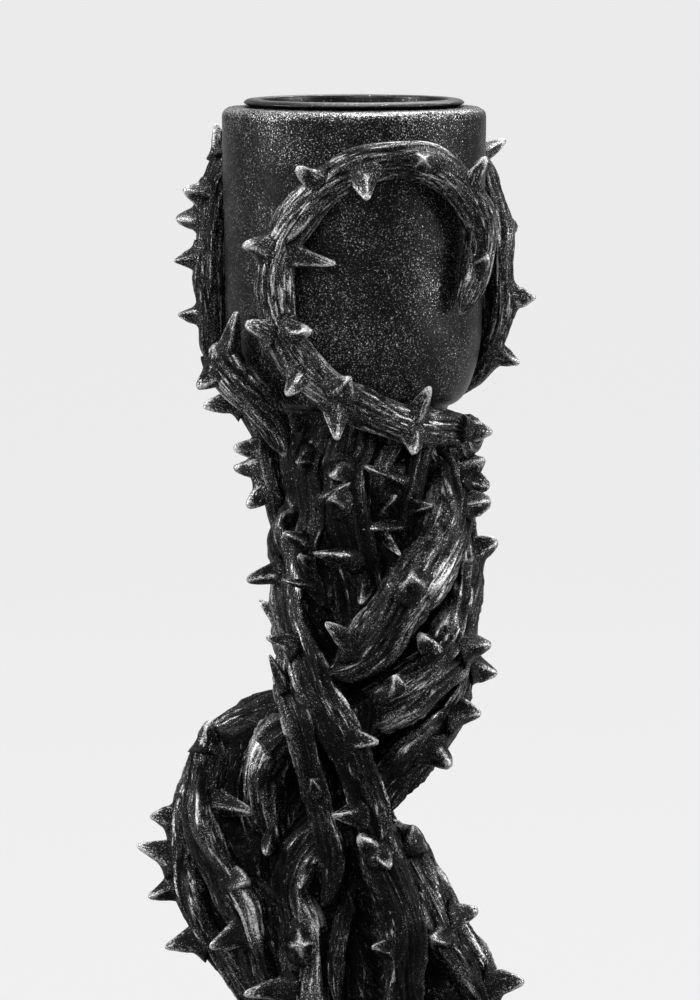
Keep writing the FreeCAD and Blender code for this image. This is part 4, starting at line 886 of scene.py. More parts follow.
def bark(angle, along, radius, seed, strands, on_cup):
    """The bark's height as a share of the vine's radius, and how much of its silver has stayed."""
    random = np.random.default_rng(seed)
    twist = random.uniform(*BARK_TWIST) * random.choice((-1, 1))
    reach = along[..., None] * UP

    def drawn(places, fineness, length, offset):
        """Noise of a fineness across the vine and a length along it."""
        return noise(places * fineness + reach / length, seed + offset)

    ring = around(angle, 0.0)
    spin = angle + twist * along + BARK_DRIFT * drawn(ring, *DRIFT_NOISE)
    wound = around(spin, 0.0)
    cords = np.zeros_like(angle)
    for number in range(strands):
        centre = math.tau * (number + random.uniform(-0.2, 0.2)) / strands
        wander = 0.6 * noise(reach / 12.0, seed + 17 * number + 5)
        wide = math.pi / strands * random.uniform(0.85, 1.25)
        strength = partly(0.55, smoothstep(-0.4, 0.4, noise(reach / 8.0, seed + 31 * number + 9)))
        off = wrapped(spin + wander - centre) / wide
        cords = np.maximum(cords, np.sqrt(np.clip(1.0 - off ** 2, 0, 1)) * strength)
    crests = ridged(drawn(wound, *CREST_NOISE), CREST_WIDTH)
    fine = ridged(drawn(wound, *FINE_NOISE), FINE_WIDTH)
    groove = ridged(drawn(wound, *GROOVE_NOISE), GROOVE_WIDTH)
    count = max(round(math.tau * radius / LINE_SPACING), 8)
    sway = drawn(wound, *SWAY_NOISE) * 3.0 + drawn(wound, *QUICK_SWAY_NOISE) * 0.8
    lines = 1.0 - np.abs(np.sin(count / 2 * spin + sway))
    if not on_cup:
        lines = lines * partly(0.6, partly(0.35, smoothstep(-0.4, 0.3, drawn(ring, *LINE_NOISE))))
    height = CORD_HEIGHTS[on_cup] * (cords - 0.75) + CREST_HEIGHTS[on_cup] * crests ** 1.3 + LINE_HEIGHT * lines
    height = height - GROOVE_DEPTH * groove + LUMP_HEIGHT * drawn(ring, *LUMP_NOISE) - BARK_SINK
    wear = BARK_WEAR + CREST_WEAR * crests ** 1.5 + LINE_WEAR * lines ** 2 + FINE_WEAR * fine
    wear = wear + CORD_WEAR * smoothstep(0.6, 1.0, cords) + GROOVE_WEAR * groove
    if on_cup:
        return height, wear + CUP_VINE_WEAR
    return height, wear * (0.5 + 0.75 * smoothstep(-0.5, 0.5, drawn(ring, *PATCH_NOISE)))


def leaf_edges(turn, distance, seed):
    """The height and the wear that a leaf-like vine's two raised edges add."""
    off = np.abs(wrapped(turn))
    side = np.sign(np.sin(turn)) * 3
    wander = EDGE_ANGLE + 0.22 * noise(np.stack([side, turn * 0, distance / 9.0], axis=-1), seed)
    line = np.exp(-np.abs(off - wander) / 0.17)
    broken = smoothstep(-0.35, 0.35, noise(np.stack([off, turn * 0, distance / 3.5], axis=-1), seed + 71))
    return EDGE_HEIGHT * line - EDGE_HOLLOW * bump_at(off, 0.0, 0.55), EDGE_WEAR * line ** 3 * broken


def grown_up(vine):
    """A vine's route, drawn on upwards into the cup's underside where the vine starts below it."""
    first = vine.points[0]
    if not NECK_REACH[0] < first[2] < NECK_REACH[1]:
        return vine.points
    away = unit(unit(first - vine.points[1]) + UP)
    more = [first + away * step - outward(first) * step ** 2 * NECK_BEND for step in NECK_STEPS]
    return np.concatenate([more, vine.points])


def cap_rows(centre, outside, side, cross, radius, length):
    """The rings that round one end of a vine."""
    return [(centre + outside * radius * out, side, cross, radius * wide, length) for wide, out in CAP]


def vine_rows(vine):
    """The vine's rings, with rounded ends: centres, two side vectors, radii and lengths along it."""
    path = even_points(grown_up(vine), BARK_STEP, 8)
    share = np.linspace(0, 1, len(path))
    radii = np.interp(share, np.linspace(0, 1, len(vine.radii)), vine.radii) * GROWN.get(vine.name, USUAL_GROWN)
    along, side, cross = frames(path)
    length = lengths(path)
    rows = [*cap_rows(path[0], -along[0], side[0], cross[0], radii[0], length[0])[::-1],
            *zip(path, side, cross, radii, length),
            *cap_rows(path[-1], along[-1], side[-1], cross[-1], radii[-1], length[-1])]
    return (np.array(column) for column in zip(*rows))


def vine_mesh(vine, thorns, growth):
    """The vine's tube with its bark, and its thorns, as vertices, faces, wear and grain places."""
    seed = seed_of(vine.name)
    on_cup = vine.name.startswith("cup_vine")
    centres, sides, crosses, wide, length = vine_rows(vine)
    columns = max(int(math.tau * vine.radius / BARK_WIDTH), BARK_COLUMNS)
    angle, distance = np.meshgrid(turns(columns), length)
    height, wear = bark(angle, distance, vine.radius, seed, 4 if vine.radius > SLIM_RADIUS else 3, on_cup)
    grain = around(angle, distance * GRAIN_STRETCH, vine.radius) + (seed % 97, 0, 0)
    out = outward(centres)
    turn = angle - np.arctan2(np.sum(out * crosses, axis=1), np.sum(out * sides, axis=1))[:, None]
    slope = np.gradient(centres, axis=0)
    flat = FLATNESS.get(vine.name, FLAT_SHARE) * np.linalg.norm(np.cross(out, slope), axis=1)
    flat = (flat / np.maximum(np.linalg.norm(slope, axis=1), 1e-6))[:, None]
    edges = 0.0
    if vine.name in EDGED:
        edges, edge_wear = leaf_edges(turn, distance, seed)
        wear = wear * 0.85 + edge_wear
    r = wide[:, None] * (1.0 + height + edges - flat * np.cos(2 * turn))
    verts = centres[:, None] + r[..., None] * (
        np.cos(angle)[..., None] * sides[:, None] + np.sin(angle)[..., None] * crosses[:, None])
    ends = np.zeros(len(centres))
    ends[:END_ROWS] = np.linspace(*END_WEAR, END_ROWS)
    ends[-END_ROWS:] = np.linspace(*END_WEAR[::-1], END_ROWS)
    # partly painted shade: less silver where a vine sinks into the mass, and on the neck's vines under the cup
    wear = (wear + ends[:, None]) * WORN_AND_SHADED.get(vine.name, 1.0) * partly(HIDDEN_WEAR_AND_SHADE, growth.openness(verts))
    if vine.name in FADED:
        wear = wear * partly(FADED_WEAR, smoothstep(*FADED_HEIGHTS, verts[..., 2]))
    parts = [(verts.reshape(-1, 3), wear.reshape(-1), grain.reshape(-1, 3))]
    faces = tube_faces(len(centres), columns)
    total = verts.size // 3
    travel = directions(vine.points)
    for count, (index, root, heading, size) in enumerate(thorns):
        more, more_faces, thorn_wear_and_shade, more_grain = thorn_mesh(
            root, travel[index], heading, size, vine.radii[index], seed + count)
        # partly painted shade: a thorn keeps less silver where it sinks into the mass
        thorn_wear_and_shade = thorn_wear_and_shade * partly(HIDDEN_THORN_WEAR_AND_SHADE, growth.openness(more)) + CUP_THORN_WEAR * on_cup
        parts.append((more, thorn_wear_and_shade, more_grain))
        faces.extend(tuple(corner + total for corner in face) for face in more_faces)
        total += len(more)
    verts, wear, grain = (np.concatenate(column) for column in zip(*parts))
    return verts, faces, wear, grain


def thorn_mesh(root, along, heading, size, radius, seed):
    """A thorn whose wide foot runs out on the vine, with a few soft edges and a blunt, worn tip."""
    random = np.random.default_rng(seed)
    side = unit(along - heading * np.dot(along, heading))
    cross = np.cross(heading, side)
    bend = (side * random.uniform(-1, 1) + cross * random.uniform(-0.4, 0.4)) * THORN_BEND * size
    edge = random.uniform(0, math.tau)
    edges = random.choice((3, 4))
    narrow = random.uniform(*THORN_WIDTHS)
    skew = random.uniform(-THORN_SKEW, THORN_SKEW)
    slim = random.uniform(*THORN_TIP_WIDTHS)
    angles = turns(THORN_COLUMNS)
    crest = 0.5 + 0.5 * np.cos(edges * angles + edge)
    verts, wear, grain = [], [], []
    for share, wide_along, wide_across in THORN_OUTLINE:
        free = smoothstep(0.0, 0.4, share)
        rough = noise(around(angles, share * 3, 1.6), seed)
        shape = 1.0 + THORN_CREST * smoothstep(0.0, 0.3, share) * (crest ** 2 - 0.4)
        shape = shape * (1.0 + THORN_ROUGH * rough)
        width = (narrow * free + 1.0 - free) * (1.0 - (1.0 - slim) * smoothstep(0.3, 0.95, share))
        out_along = np.cos(angles) * wide_along * radius * width * shape * (1.0 + skew * np.cos(angles) * (1 - free))
        out_across = np.sin(angles) * wide_across * radius * width * shape
        bed = np.sqrt(np.maximum(radius ** 2 - out_across ** 2, (0.25 * radius) ** 2))
        rise = bed * (1 - free) + radius * free + size * share
        verts.append(root + bend * max(share, 0) ** 2 + out_along[:, None] * side + out_across[:, None] * cross
                     + rise[:, None] * heading)
        wear.append(0.12 + 0.36 * smoothstep(0.4, 1.0, share) + 0.50 * crest ** 5 * smoothstep(0.0, 0.25, share)
                    + 0.20 * smoothstep(0.60, 0.95, share) + 0.10 * rough)
        grain.append(np.stack([out_along + seed % 89, out_across, angles * 0 + size * share * 0.35], axis=-1))
    return np.concatenate(verts), tube_faces(len(verts), THORN_COLUMNS), np.concatenate(wear), np.concatenate(grain)


def spread_max(values, width, axis):
    """The greatest value within a width either way along one axis of a grid that closes on itself sideways."""
    edges = [(0, 0), (0, 0)]
    edges[axis] = (width, width)
    padded = np.pad(values, edges, mode="wrap" if axis else "edge")
    return np.lib.stride_tricks.sliding_window_view(padded, 2 * width + 1, axis).max(axis=-1)


def blurred(values, width):
    """The mean over a width either way, along both axes of such a grid."""
    padded = np.pad(values, [(width, width), (0, 0)], mode="edge")
    out = sum(padded[step:step + len(values)] for step in range(2 * width + 1)) / (2 * width + 1)
    return sum(np.roll(out, step, 1) for step in range(-width, width + 1)) / (2 * width + 1)


class Growth:
    """The grid of the mass between the vines: its centre line and how far it reaches."""

    def __init__(self, cloud):
        self.heights = np.linspace(CUP_BOTTOM, FOOT_BOSS_TOP, GROWTH_ROWS)
        self.angles = turns(GROWTH_COLUMNS)
        self.x, self.y, core = core_at(self.heights)
        reach = self.vines_reach(cloud, core)
        window = max(int(GROWTH_BRIDGE / (np.median(reach) * math.tau / GROWTH_COLUMNS)), 1)
        down = max(int(GROWTH_BRIDGE / ((CUP_BOTTOM - FOOT_BOSS_TOP) / (GROWTH_ROWS - 1))), 1)
        closed = spread_max(spread_max(reach, window, 1), down, 0)
        closed = -spread_max(spread_max(-closed, window, 1), down, 0)
        filled = np.minimum(blurred(closed - GROWTH_DEPTH, 3), blurred(reach, 2) + GROWTH_BRIDGE)
        fade = smoothstep(*GROWTH_FOOT_HEIGHTS, self.heights) * smoothstep(0.0, 4.0, CUP_BOTTOM - self.heights)
        self.reach = blurred(core[:, None] + np.maximum(filled - core[:, None], 0) * fade[:, None], 1)

    def vines_reach(self, cloud, core):
        """How far the vines reach from the core's centre line, at each height and in each direction."""
        points, radii = cloud[0], cloud[1]
        across = np.stack([np.cos(self.angles), np.sin(self.angles)])
        reach = np.repeat(core[:, None], GROWTH_COLUMNS, axis=1)
        for row, height in enumerate(self.heights):
            near = np.abs(points[:, 2] - height) < radii
            if not near.any():
                continue
            disc = np.sqrt(radii[near] ** 2 - (points[near, 2] - height) ** 2)
            flat = points[near, :2] - (self.x[row], self.y[row])
            ahead = flat @ across
            aside = flat[:, :1] * across[1] - flat[:, 1:] * across[0]
            inside = disc[:, None] ** 2 - aside ** 2
            far = np.where((inside > 0) & (ahead > 0), ahead + np.sqrt(np.maximum(inside, 0)), 0.0)
            reach[row] = np.maximum(reach[row], far.max(axis=0))
        return reach

    def openness(self, verts):
        """One where a vine stands clear of the mass behind it, and zero where it sinks in."""
        row = np.interp(-verts[..., 2], -self.heights, np.arange(GROWTH_ROWS)).astype(int)
        x, y = verts[..., 0] - self.x[row], verts[..., 1] - self.y[row]
        column = (np.arctan2(y, x) / math.tau * GROWTH_COLUMNS).astype(int) % GROWTH_COLUMNS
        clear = np.hypot(x, y) - self.reach[row, column]
        above = smoothstep(CUP_BOTTOM - 3.0, CUP_BOTTOM, verts[..., 2])
        return np.maximum(smoothstep(-0.6, 1.6, clear), above)

    def mesh(self):
        """The mass that fills the spaces between the vines, just below their crests, with strands of its own."""
        angle, height = np.meshgrid(self.angles, self.heights)
        wound = angle + GROWTH_TWIST * height + 0.5 * noise(around(angle, height / 20.0), 81)
        wind = around(wound, 0.0) * self.reach[..., None]
        along = height[..., None] * UP
        cords = ridged(noise(wind / 3.4 + along / 17.0, 91), 0.55)
        crests = ridged(noise(wind / 1.5 + along / 10.0, 92), 0.30)
        fine = ridged(noise(wind / 0.8 + along / 6.0, 93), 0.25)
        ends = smoothstep(0.0, 2.5, CUP_BOTTOM - height) * smoothstep(0.0, 2.5, height - FOOT_BOSS_TOP)
        relief = GROWTH_CORDS * np.sqrt(cords) + GROWTH_CRESTS * crests + GROWTH_FINE * fine - GROWTH_SINK
        verts = around(angle, height, self.reach + relief * ends)
        verts += np.stack([self.x, self.y, self.x * 0], axis=-1)[:, None]
        wear = 0.14 * crests ** 2 + 0.08 * fine + 0.08 * smoothstep(0.5, 1.0, cords)
        grain = wind + along * GRAIN_STRETCH
        return verts.reshape(-1, 3), tube_faces(*angle.shape), wear.reshape(-1), grain.reshape(-1, 3)


def rounded(points, size, steps=4):
    """An outline of (radius, height) points with small rounds at its corners, where a third value sets the size."""
    out = []
    for index, (reach, height, *own) in enumerate(points):
        here = np.array((reach, height), float)
        limit = own[0] if own else size
        if index in (0, len(points) - 1):
            out.append(here)
            continue
        before = np.array(points[index - 1][:2], float) - here
        after = np.array(points[index + 1][:2], float) - here
        cut = min(limit, np.linalg.norm(before) * 0.45, np.linalg.norm(after) * 0.45)
        start = here + unit(before) * cut
        end = here + unit(after) * cut
        for share in np.arange(steps + 1) / steps:
            out.append((1 - share) ** 2 * start + 2 * share * (1 - share) * here + share ** 2 * end)
    return out


def lathe(points, columns, longest, size=0.25):
    """The angles, radii and heights of a turned grid, with rounded corners and no step longer than a length."""
    outline = rounded(points, size)
    rows = [outline[0]]
    for start, end in zip(outline, outline[1:]):
        count = max(int(np.linalg.norm(end - start) / longest), 1)
        rows.extend(start + (end - start) * (step + 1) / count for step in range(count))
    radii, heights = np.array(rows).T
    angle, radius = np.meshgrid(turns(columns), radii)
    return angle, radius, np.broadcast_to(heights[:, None], angle.shape)


def layers(places, skin, seed):
    """The sum of a skin's layers of noise."""
    return sum(height * noise(places / grain, seed + number) for number, (grain, height) in enumerate(skin))


def turned_mesh(angle, radius, height, wear):
    """A turned grid's vertices, faces, wear and grain places."""
    verts = around(angle, height, radius).reshape(-1, 3)
    return verts, grid_faces(*angle.shape), wear.reshape(-1), verts


def cup_mesh():
    """The cup, with a worn, slightly uneven rim, a cast skin and painted light on its front."""
    bottom = CUP_BOTTOM + 0.02
    floor = CUP_RIM_HEIGHT - CUP_BORE_DEPTH
    outline = [(ROD_HOLE_RADIUS, bottom), (CUP_NECK_RADIUS, bottom, SMALL_ROUND),
               (CUP_NECK_RADIUS, CUP_NECK_HEIGHT - 0.4, 0.6)]
    for turn in np.arange(1, 24) / 24 * math.pi / 2:
        outline.append((CUP_NECK_RADIUS + (CUP_WAIST_RADIUS - CUP_NECK_RADIUS) * math.sin(turn),
                        CUP_ROUND_HEIGHT - CUP_ROUND_DEPTH * math.cos(turn), SMALL_ROUND))
    outline += [(CUP_WAIST_RADIUS, CUP_ROUND_HEIGHT, SMALL_ROUND), (CUP_RIM_RADIUS, CUP_RIM_HEIGHT, CUP_RIM_ROUND),
                (CUP_BORE_RADIUS, CUP_RIM_HEIGHT, CUP_BORE_ROUND), (CUP_BORE_RADIUS, floor, 0.4),
                (ROD_HOLE_RADIUS, floor), (ROD_HOLE_RADIUS, bottom)]
    angle, radius, height = lathe(outline, 300, 0.42)
    ring = around(angle, height, radius)
    outer = smoothstep(CUP_BORE_RADIUS + 0.6, CUP_BORE_RADIUS + 2.2, radius)
    uneven = layers(ring, CUP_SKIN, 201)
    rim = smoothstep(CUP_RIM_HEIGHT - RIM_DEPTH, CUP_RIM_HEIGHT - 0.3, height) * outer
    dents = -RIM_DENT * smoothstep(0.15, 0.6, noise(ring / 2.0, 203)) * rim
    radius = radius + (uneven - CUP_SINK + dents) * outer
    height = height + (RIM_WAVE * noise(ring / 3.2, 204) - RIM_SINK) * rim
    edge = bump_at(height, CUP_RIM_HEIGHT - 0.45, 0.42) * outer
    low = bump_at(height, CUP_RIM_HEIGHT - 2.3, 0.9) * outer
    # painted light: more silver towards the camera, so that the cup's front reads lighter
    front = smoothstep(-0.1, 0.9, -np.sin(angle))
    wear = CUP_WEAR + CUP_FRONT_PAINTED_LIGHT * front + CUP_CLOUD_WEAR * noise(ring / 6.0, 205)
    return turned_mesh(angle, radius, height, wear + RIM_WEAR * edge + BELOW_RIM_WEAR * low)


def liner_mesh():
    """The liner: a thin turned cup with a domed lip."""
    top = CUP_RIM_HEIGHT
    outline = [(SHANK_HOLE_RADIUS, LINER_BOTTOM), (LINER_OUTER_RADIUS, LINER_BOTTOM, 0.4),
               (LINER_OUTER_RADIUS, top, 0.05), (LINER_OUTER_RADIUS + 0.45, top, 0.05),
               (LINER_LIP_RADIUS, top + 0.45, 0.22), (13.3, top + 0.86, 0.3),
               (12.4, top + LINER_LIP_HEIGHT, 0.4),
               (LINER_BORE_RADIUS, top + 0.9, 0.3), (LINER_BORE_RADIUS, LINER_FLOOR_TOP, 0.5),
               (SHANK_HOLE_RADIUS, LINER_FLOOR_TOP), (SHANK_HOLE_RADIUS, LINER_BOTTOM)]
    angle, radius, height = lathe(outline, 256, 0.6, 0.1)
    ring = around(angle, height, radius)
    height = height + 0.03 * noise(ring / 5.0, 301) * smoothstep(top, top + 0.5, height) - 0.02
    wear = LINER_WEAR + LINER_LIP_WEAR * bump_at(radius, LINER_LIP_RADIUS, 0.3)
    return turned_mesh(angle, radius, height, wear + LINER_CLOUD_WEAR * noise(ring / 3.0, 302))


def foot_mesh():
    """The domed foot, hammered a little, with a worn edge and low root-like folds."""
    outline = [(ROD_HOLE_RADIUS, RECESS_TOP), (RECESS_RADIUS, RECESS_TOP, FOOT_ROUND),
               (RECESS_RADIUS, FOOT_BOTTOM, SMALL_ROUND), (FOOT_RADIUS, FOOT_BOTTOM, FOOT_ROUND),
               (FOOT_RADIUS, FOOT_EDGE_TOP, FOOT_EDGE_ROUND)]
    shoulder = FOOT_RADIUS - FOOT_SHOULDER
    for step in range(1, 22):
        reach = shoulder - (shoulder - FOOT_BOSS_RADIUS) * step / 22
        outline.append((reach, float(dome_height(reach)), 0.4))
    outline += [(FOOT_BOSS_RADIUS, float(dome_height(FOOT_BOSS_RADIUS)), 0.5), (FOOT_BOSS_RADIUS, FOOT_BOSS_TOP, 0.4),
                (ROD_HOLE_RADIUS, FOOT_BOSS_TOP), (ROD_HOLE_RADIUS, RECESS_TOP)]
    angle, radius, height = lathe(outline, 420, 0.6)
    ring = around(angle, height, radius)
    top = smoothstep(FOOT_EDGE_TOP - 1.4, FOOT_EDGE_TOP + 0.6, height) * smoothstep(FOOT_BOSS_RADIUS, 15.0, radius)
    places = around(angle, radius / 22.0, 5.0)
    folds = noise(places, 401)
    relief = FOOT_FOLD * folds + layers(ring, FOOT_SKIN, 402)
    cracks = bump_at(noise(places * 1.7, 404), 0.0, 0.09)
    height = height + (relief - FOOT_CRACK * cracks - FOOT_SINK) * top
    rim = bump_at(radius, FOOT_RADIUS - 0.7, 0.7) * smoothstep(FOOT_EDGE_TOP - 3.0, FOOT_EDGE_TOP - 1.0, height)
    side = smoothstep(FOOT_BOTTOM + 0.5, FOOT_BOTTOM + 2.0, height)
    radius = radius + (0.12 * noise(ring / 6.0, 405) - 0.14) * side * smoothstep(RECESS_RADIUS + 4, FOOT_RADIUS, radius)
    wear = FOOT_WEAR + FOOT_EDGE_WEAR * rim + FOOT_FOLD_WEAR * smoothstep(0.1, 0.7, folds) * top
    wear = wear + FOOT_CRACK_WEAR * cracks * top + FOOT_CLOUD_WEAR * noise(ring / 4.0, 406)
    return turned_mesh(angle, radius, height, wear)


# Materials


def grey(value):
    return (value, value, value, 1.0)


class Nodes:
    """A short way to write a material's nodes."""

    def __init__(self, name):
        self.material = bpy.data.materials.new(name)
        self.material.use_nodes = True
        self.tree = self.material.node_tree
        self.shader = self.tree.nodes["Principled BSDF"]
        self.spot = self.add("ShaderNodeTexCoord").outputs["Object"]

    def add(self, kind, **settings):
        node = self.tree.nodes.new(kind)
        for key, value in settings.items():
            setattr(node, key, value)
        return node

    def put(self, socket, value):
        if isinstance(value, (int, float, tuple)):
            socket.default_value = value
        else:
            self.tree.links.new(value, socket)

    def surface(self, **values):
        """Sets the shader's inputs, named with a low line for each space."""
        for name, value in values.items():
            self.put(self.shader.inputs[name.replace("_", " ")], value)

    def vector(self, attribute):
        return self.add("ShaderNodeAttribute", attribute_name=attribute).outputs["Vector"]

    def math(self, operation, *values):
        node = self.add("ShaderNodeMath", operation=operation)
        for socket, value in zip(node.inputs, values):
            self.put(socket, value)
        return node.outputs[0]

    def times(self, first, second):
        return self.math("MULTIPLY", first, second)

    def plus(self, base, value, gain):
        """A base with a value times a gain added."""
        return self.math("ADD", base, self.times(value, gain))

    def varied(self, base, value, gain):
        """A base that a value of 0 to 1 moves down or up by half a gain."""
        return self.plus(base, self.math("SUBTRACT", value, 0.5), gain)

    def noise(self, grain_mm, detail, roughness, stretch=None, place=None):
        """Noise with grains of a size, in millimetres, or in the units of the place that is given."""
        node = self.add("ShaderNodeTexNoise")
        node.inputs["Scale"].default_value = 1.0 / (grain_mm * MM)
        node.inputs["Detail"].default_value = detail
        node.inputs["Roughness"].default_value = roughness
        spot = place or self.spot
        if stretch:
            mapping = self.add("ShaderNodeMapping")
            self.put(mapping.inputs["Scale"], stretch)
            self.put(mapping.inputs["Vector"], spot)
            spot = mapping.outputs["Vector"]
        self.put(node.inputs["Vector"], spot)
        return node.outputs["Fac"]

    def ramp(self, value, low, high):
        node = self.add("ShaderNodeMapRange", interpolation_type="SMOOTHSTEP")
        self.put(node.inputs["Value"], value)
        self.put(node.inputs["From Min"], low)
        self.put(node.inputs["From Max"], high)
        return node.outputs["Result"]

    def mix(self, share, first, second):
        node = self.add("ShaderNodeMix", data_type="RGBA")
        self.put(node.inputs[0], share)
        self.put(node.inputs[6], first)
        self.put(node.inputs[7], second)
        return node.outputs[2]

    def bump(self, height, depth_mm, normal=None):
        node = self.add("ShaderNodeBump")
        node.inputs["Distance"].default_value = depth_mm * MM
        self.put(node.inputs["Height"], height)
        if normal:
            self.put(node.inputs["Normal"], normal)
        return node.outputs["Normal"]


def black_iron(name, grained=True):
    """Black fine-grained casting with silver left on ridges, edges and single grains."""
    n = Nodes(name)
    # this value is mostly worn silver, and also painted light on the cup's front and painted shade under the cup and in
    # recesses
    wear = n.add("ShaderNodeAttribute", attribute_name="wear").outputs["Fac"]
    cloud = n.noise(CLOUD_SIZE, 3.0, 0.6)
    speck = n.noise(SPECK_SIZE if grained else SMOOTH_SPECK_SIZE, 2.0, 0.65)
    grit = n.noise(GRIT_SIZE, 3.0, 0.65)
    if grained:
        lean = n.times(wear, n.plus(0.25, cloud, 1.5))
    else:
        lean = n.varied(wear, cloud, 0.7)
    edge = n.math("SUBTRACT", SPECK_START, n.times(lean, 0.22 if grained else 0.20))
    share = n.math("MULTIPLY_ADD", n.ramp(lean, 0.0, 0.22), 0.68, SPECK_SHARE)
    silver = n.times(n.ramp(speck, edge, n.math("ADD", edge, 0.15)), share)
    if grained:
        place = n.vector("grain")
        lines = n.noise(WOOD_LINES / MM, 3.0, 0.6, place=place)
        broad = n.noise(WOOD_BANDS / MM, 2.0, 0.5, place=place)
        wood = n.plus(n.times(lines, 0.65), broad, 0.35)
        start = n.math("SUBTRACT", STREAK_START, n.times(lean, 0.25))
        streak = n.ramp(wood, start, n.math("ADD", start, 0.09))
        sand = n.ramp(n.plus(speck, lean, 0.10), 0.36, 0.60)
        silver = n.math("MAXIMUM", silver, n.times(n.times(streak, sand), STREAK_SHARE))
        bare = n.times(n.ramp(lean, 0.60, 0.95), n.ramp(speck, 0.32, 0.50))
        silver = n.math("MAXIMUM", silver, n.times(bare, BARE_SHARE))
    dark = n.mix(n.noise(1.6, 3.0, 0.6), *map(grey, BLACKS))
    bright = n.mix(n.ramp(grit, 0.35, 0.65), *map(grey, SILVERS))
    relief = n.bump(n.noise(0.9, 4.0, 0.6), RELIEF_DEPTH)
    if grained:
        relief = n.bump(wood, WOOD_DEPTH, relief)
    n.surface(Base_Color=n.mix(silver, dark, bright), Metallic=n.times(silver, 0.9),
              Roughness=n.varied(IRON_ROUGHNESS, grit, 0.35),
              Specular_IOR_Level=n.plus(IRON_GLOSS, lean, WORN_GLOSS) if grained else SMOOTH_GLOSS,
              Normal=n.bump(grit, GRIT_DEPTH, relief))
    return n.material


def turned_metal(name, shade, roughness, speck=0.0):
    """Turned metal with fine tool rings, smudges and a little dark in them."""
    n = Nodes(name)
    rings = n.noise(0.18, 2.0, 0.5, (0.02, 0.02, 1.0))
    smudge = n.noise(4.0, 3.0, 0.6)
    grain = n.noise(0.25, 2.0, 0.6)
    colour = n.mix(smudge, grey(shade * 0.72), grey(shade * 1.15))
    colour = n.mix(n.times(n.ramp(rings, 0.35, 0.7), 0.35), colour, grey(shade * 0.45))
    if speck:
        colour = n.mix(n.ramp(grain, 0.60, 0.72), colour, grey(speck))
    n.surface(Base_Color=colour, Metallic=0.9, Roughness=n.varied(roughness, smudge, 0.25),
              Normal=n.bump(grain, 0.02, n.bump(rings, 0.02)))
    return n.material


def raw_casting(name):
    """Grey cast iron with a little rust."""
    n = Nodes(name)
    grain = n.noise(0.5, 4.0, 0.65)
    rust = n.ramp(n.noise(5.0, 4.0, 0.6), 0.55, 0.75)
    n.surface(Base_Color=n.mix(rust, n.mix(grain, grey(0.05), grey(0.16)), (0.17, 0.085, 0.045, 1.0)),
              Metallic=0.35, Roughness=n.plus(0.55, grain, 0.3), Normal=n.bump(grain, 0.12))
    return n.material


def felt(name):
    """Dark felt with fibres and tufts."""
    n = Nodes(name)
    fibres = n.noise(0.22, 3.0, 0.7, (1.0, 1.0, 2.0))
    tufts = n.noise(1.8, 3.0, 0.6)
    colour = n.mix(fibres, grey(0.010), grey(0.045))
    n.surface(Base_Color=n.mix(n.times(tufts, 0.4), colour, grey(0.03)), Roughness=0.95,
              Sheen_Weight=0.4, Sheen_Roughness=0.6, Normal=n.bump(fibres, 0.12, n.bump(tufts, 0.1)))
    return n.material


# Camera

scene = bpy.context.scene
scene.view_settings.view_transform = "Standard"
camera_data = bpy.data.cameras.new("camera")
camera_data.sensor_fit = "VERTICAL"
camera_data.sensor_height = SENSOR_HEIGHT
camera_data.lens = FOCAL_PIXELS * SENSOR_HEIGHT / (2 * MIDDLE_PIXELS[1])
camera_data.clip_start = 0.01
camera_data.clip_end = 20.0
camera = bpy.data.objects.new("camera", camera_data)
camera.location = [place * MM for place in EYE]
camera.rotation_euler = (math.pi / 2 - PITCH, 0.0, 0.0)
scene.collection.objects.link(camera)
scene.camera = camera

# Pieces

iron = black_iron("black_iron")
smooth_iron = black_iron("black_iron_smooth", grained=False)
liner_metal = turned_metal("liner_metal", 0.035, 0.36, speck=0.30)
steel = turned_metal("plain_steel", 0.45, 0.34)
ballast_iron = raw_casting("ballast_iron")
felt_cloth = felt("felt")

vines = list_vines()
cloud = settle(vines)
thorns = list_thorns(vines, cloud)
growth = Growth(cloud)

new_piece("cup_casting", "candle_cup", cup_mesh(), "stand", smooth_iron)
new_piece("liner_turned", "cup_liner", liner_mesh(), "liner", liner_metal)
new_piece("foot_casting", "foot_plate", foot_mesh(), "stand", smooth_iron)
new_piece("stem_growth", "stem_core", growth.mesh(), "stand", iron)
for vine, own_thorns in zip(vines, thorns):
    new_piece(vine.name + "_bark", vine.name, vine_mesh(vine, own_thorns, growth), "stand", iron)

for node, material in (("pricket_spike", steel), ("pricket_collar", steel), ("tie_rod", steel),
                       ("tie_nuts", steel), ("tie_washers", steel), ("ballast_disc", ballast_iron),
                       ("felt_pad", felt_cloth)):
    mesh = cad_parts[node].data
    mesh.materials.clear()
    mesh.materials.append(material)

# Floor, backdrop and light


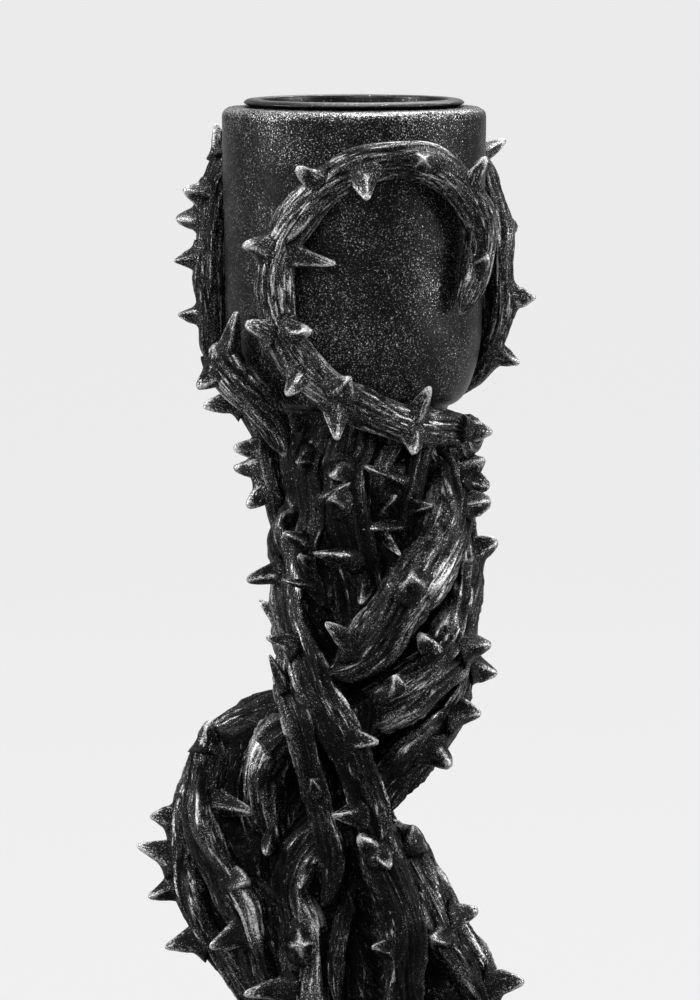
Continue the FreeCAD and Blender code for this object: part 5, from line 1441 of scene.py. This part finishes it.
def backdrop():
    """A pale sweep: floor, a wide bend and a wall, lit evenly where the camera sees it."""
    outline = [(SWEEP_FRONT, 0.0), (SWEEP_BEND, 0.0)]
    for turn in np.arange(1, 17) / 16 * math.pi / 2:
        outline.append((SWEEP_BEND + SWEEP_ROUND * math.sin(turn), SWEEP_ROUND - SWEEP_ROUND * math.cos(turn)))
    outline.append((SWEEP_BEND + SWEEP_ROUND, SWEEP_TOP))
    verts = [(x, y, z) for y, z in outline for x in (-SWEEP_SIDE, SWEEP_SIDE)]
    faces = [(2 * i, 2 * i + 1, 2 * i + 3, 2 * i + 2) for i in range(len(outline) - 1)]
    mesh = bpy.data.meshes.new("backdrop")
    mesh.from_pydata(verts, [], faces)
    mesh.shade_smooth()
    piece = bpy.data.objects.new("backdrop", mesh)
    scene.collection.objects.link(piece)
    n = Nodes("backdrop")
    n.surface(Base_Color=grey(0.20), Roughness=0.9)
    glow = n.add("ShaderNodeEmission")
    n.put(glow.inputs["Color"], grey(0.985))
    path = n.add("ShaderNodeLightPath")
    seen = n.math("MAXIMUM", n.times(path.outputs["Is Camera Ray"], 0.80),
                  n.times(path.outputs["Is Glossy Ray"], 0.30))
    both = n.add("ShaderNodeMixShader")
    n.put(both.inputs[0], seen)
    n.put(both.inputs[1], n.shader.outputs[0])
    n.put(both.inputs[2], glow.outputs[0])
    n.put(n.tree.nodes["Material Output"].inputs["Surface"], both.outputs[0])
    mesh.materials.append(n.material)


def area_light(name, location, size, power):
    """A lamp that looks at the stand, with its size in metres and its power in watts."""
    data = bpy.data.lights.new(name, "AREA")
    data.shape = "RECTANGLE"
    data.size, data.size_y = size
    data.energy = power
    light = bpy.data.objects.new(name, data)
    light.location = location
    light.rotation_euler = (Vector(LIT_POINT) - Vector(location)).to_track_quat("-Z", "Y").to_euler()
    scene.collection.objects.link(light)


backdrop()
area_light("left", (-1.10, -0.25, 0.55), (0.5, 0.9), 12.0)
area_light("right", (1.10, -0.20, 0.50), (0.5, 0.9), 12.0)
area_light("front", (-0.35, -1.60, 0.90), (0.9, 0.7), 11.3)
area_light("back", (0.20, 0.75, 0.85), (0.6, 0.4), 5.0)
area_light("top", (0.0, 0.10, 1.20), (0.7, 0.7), 13.0)

scene.world = bpy.data.worlds.new("studio")
scene.world.use_nodes = True
background = scene.world.node_tree.nodes["Background"]
background.inputs["Color"].default_value = grey(1.0)
background.inputs["Strength"].default_value = 0.15
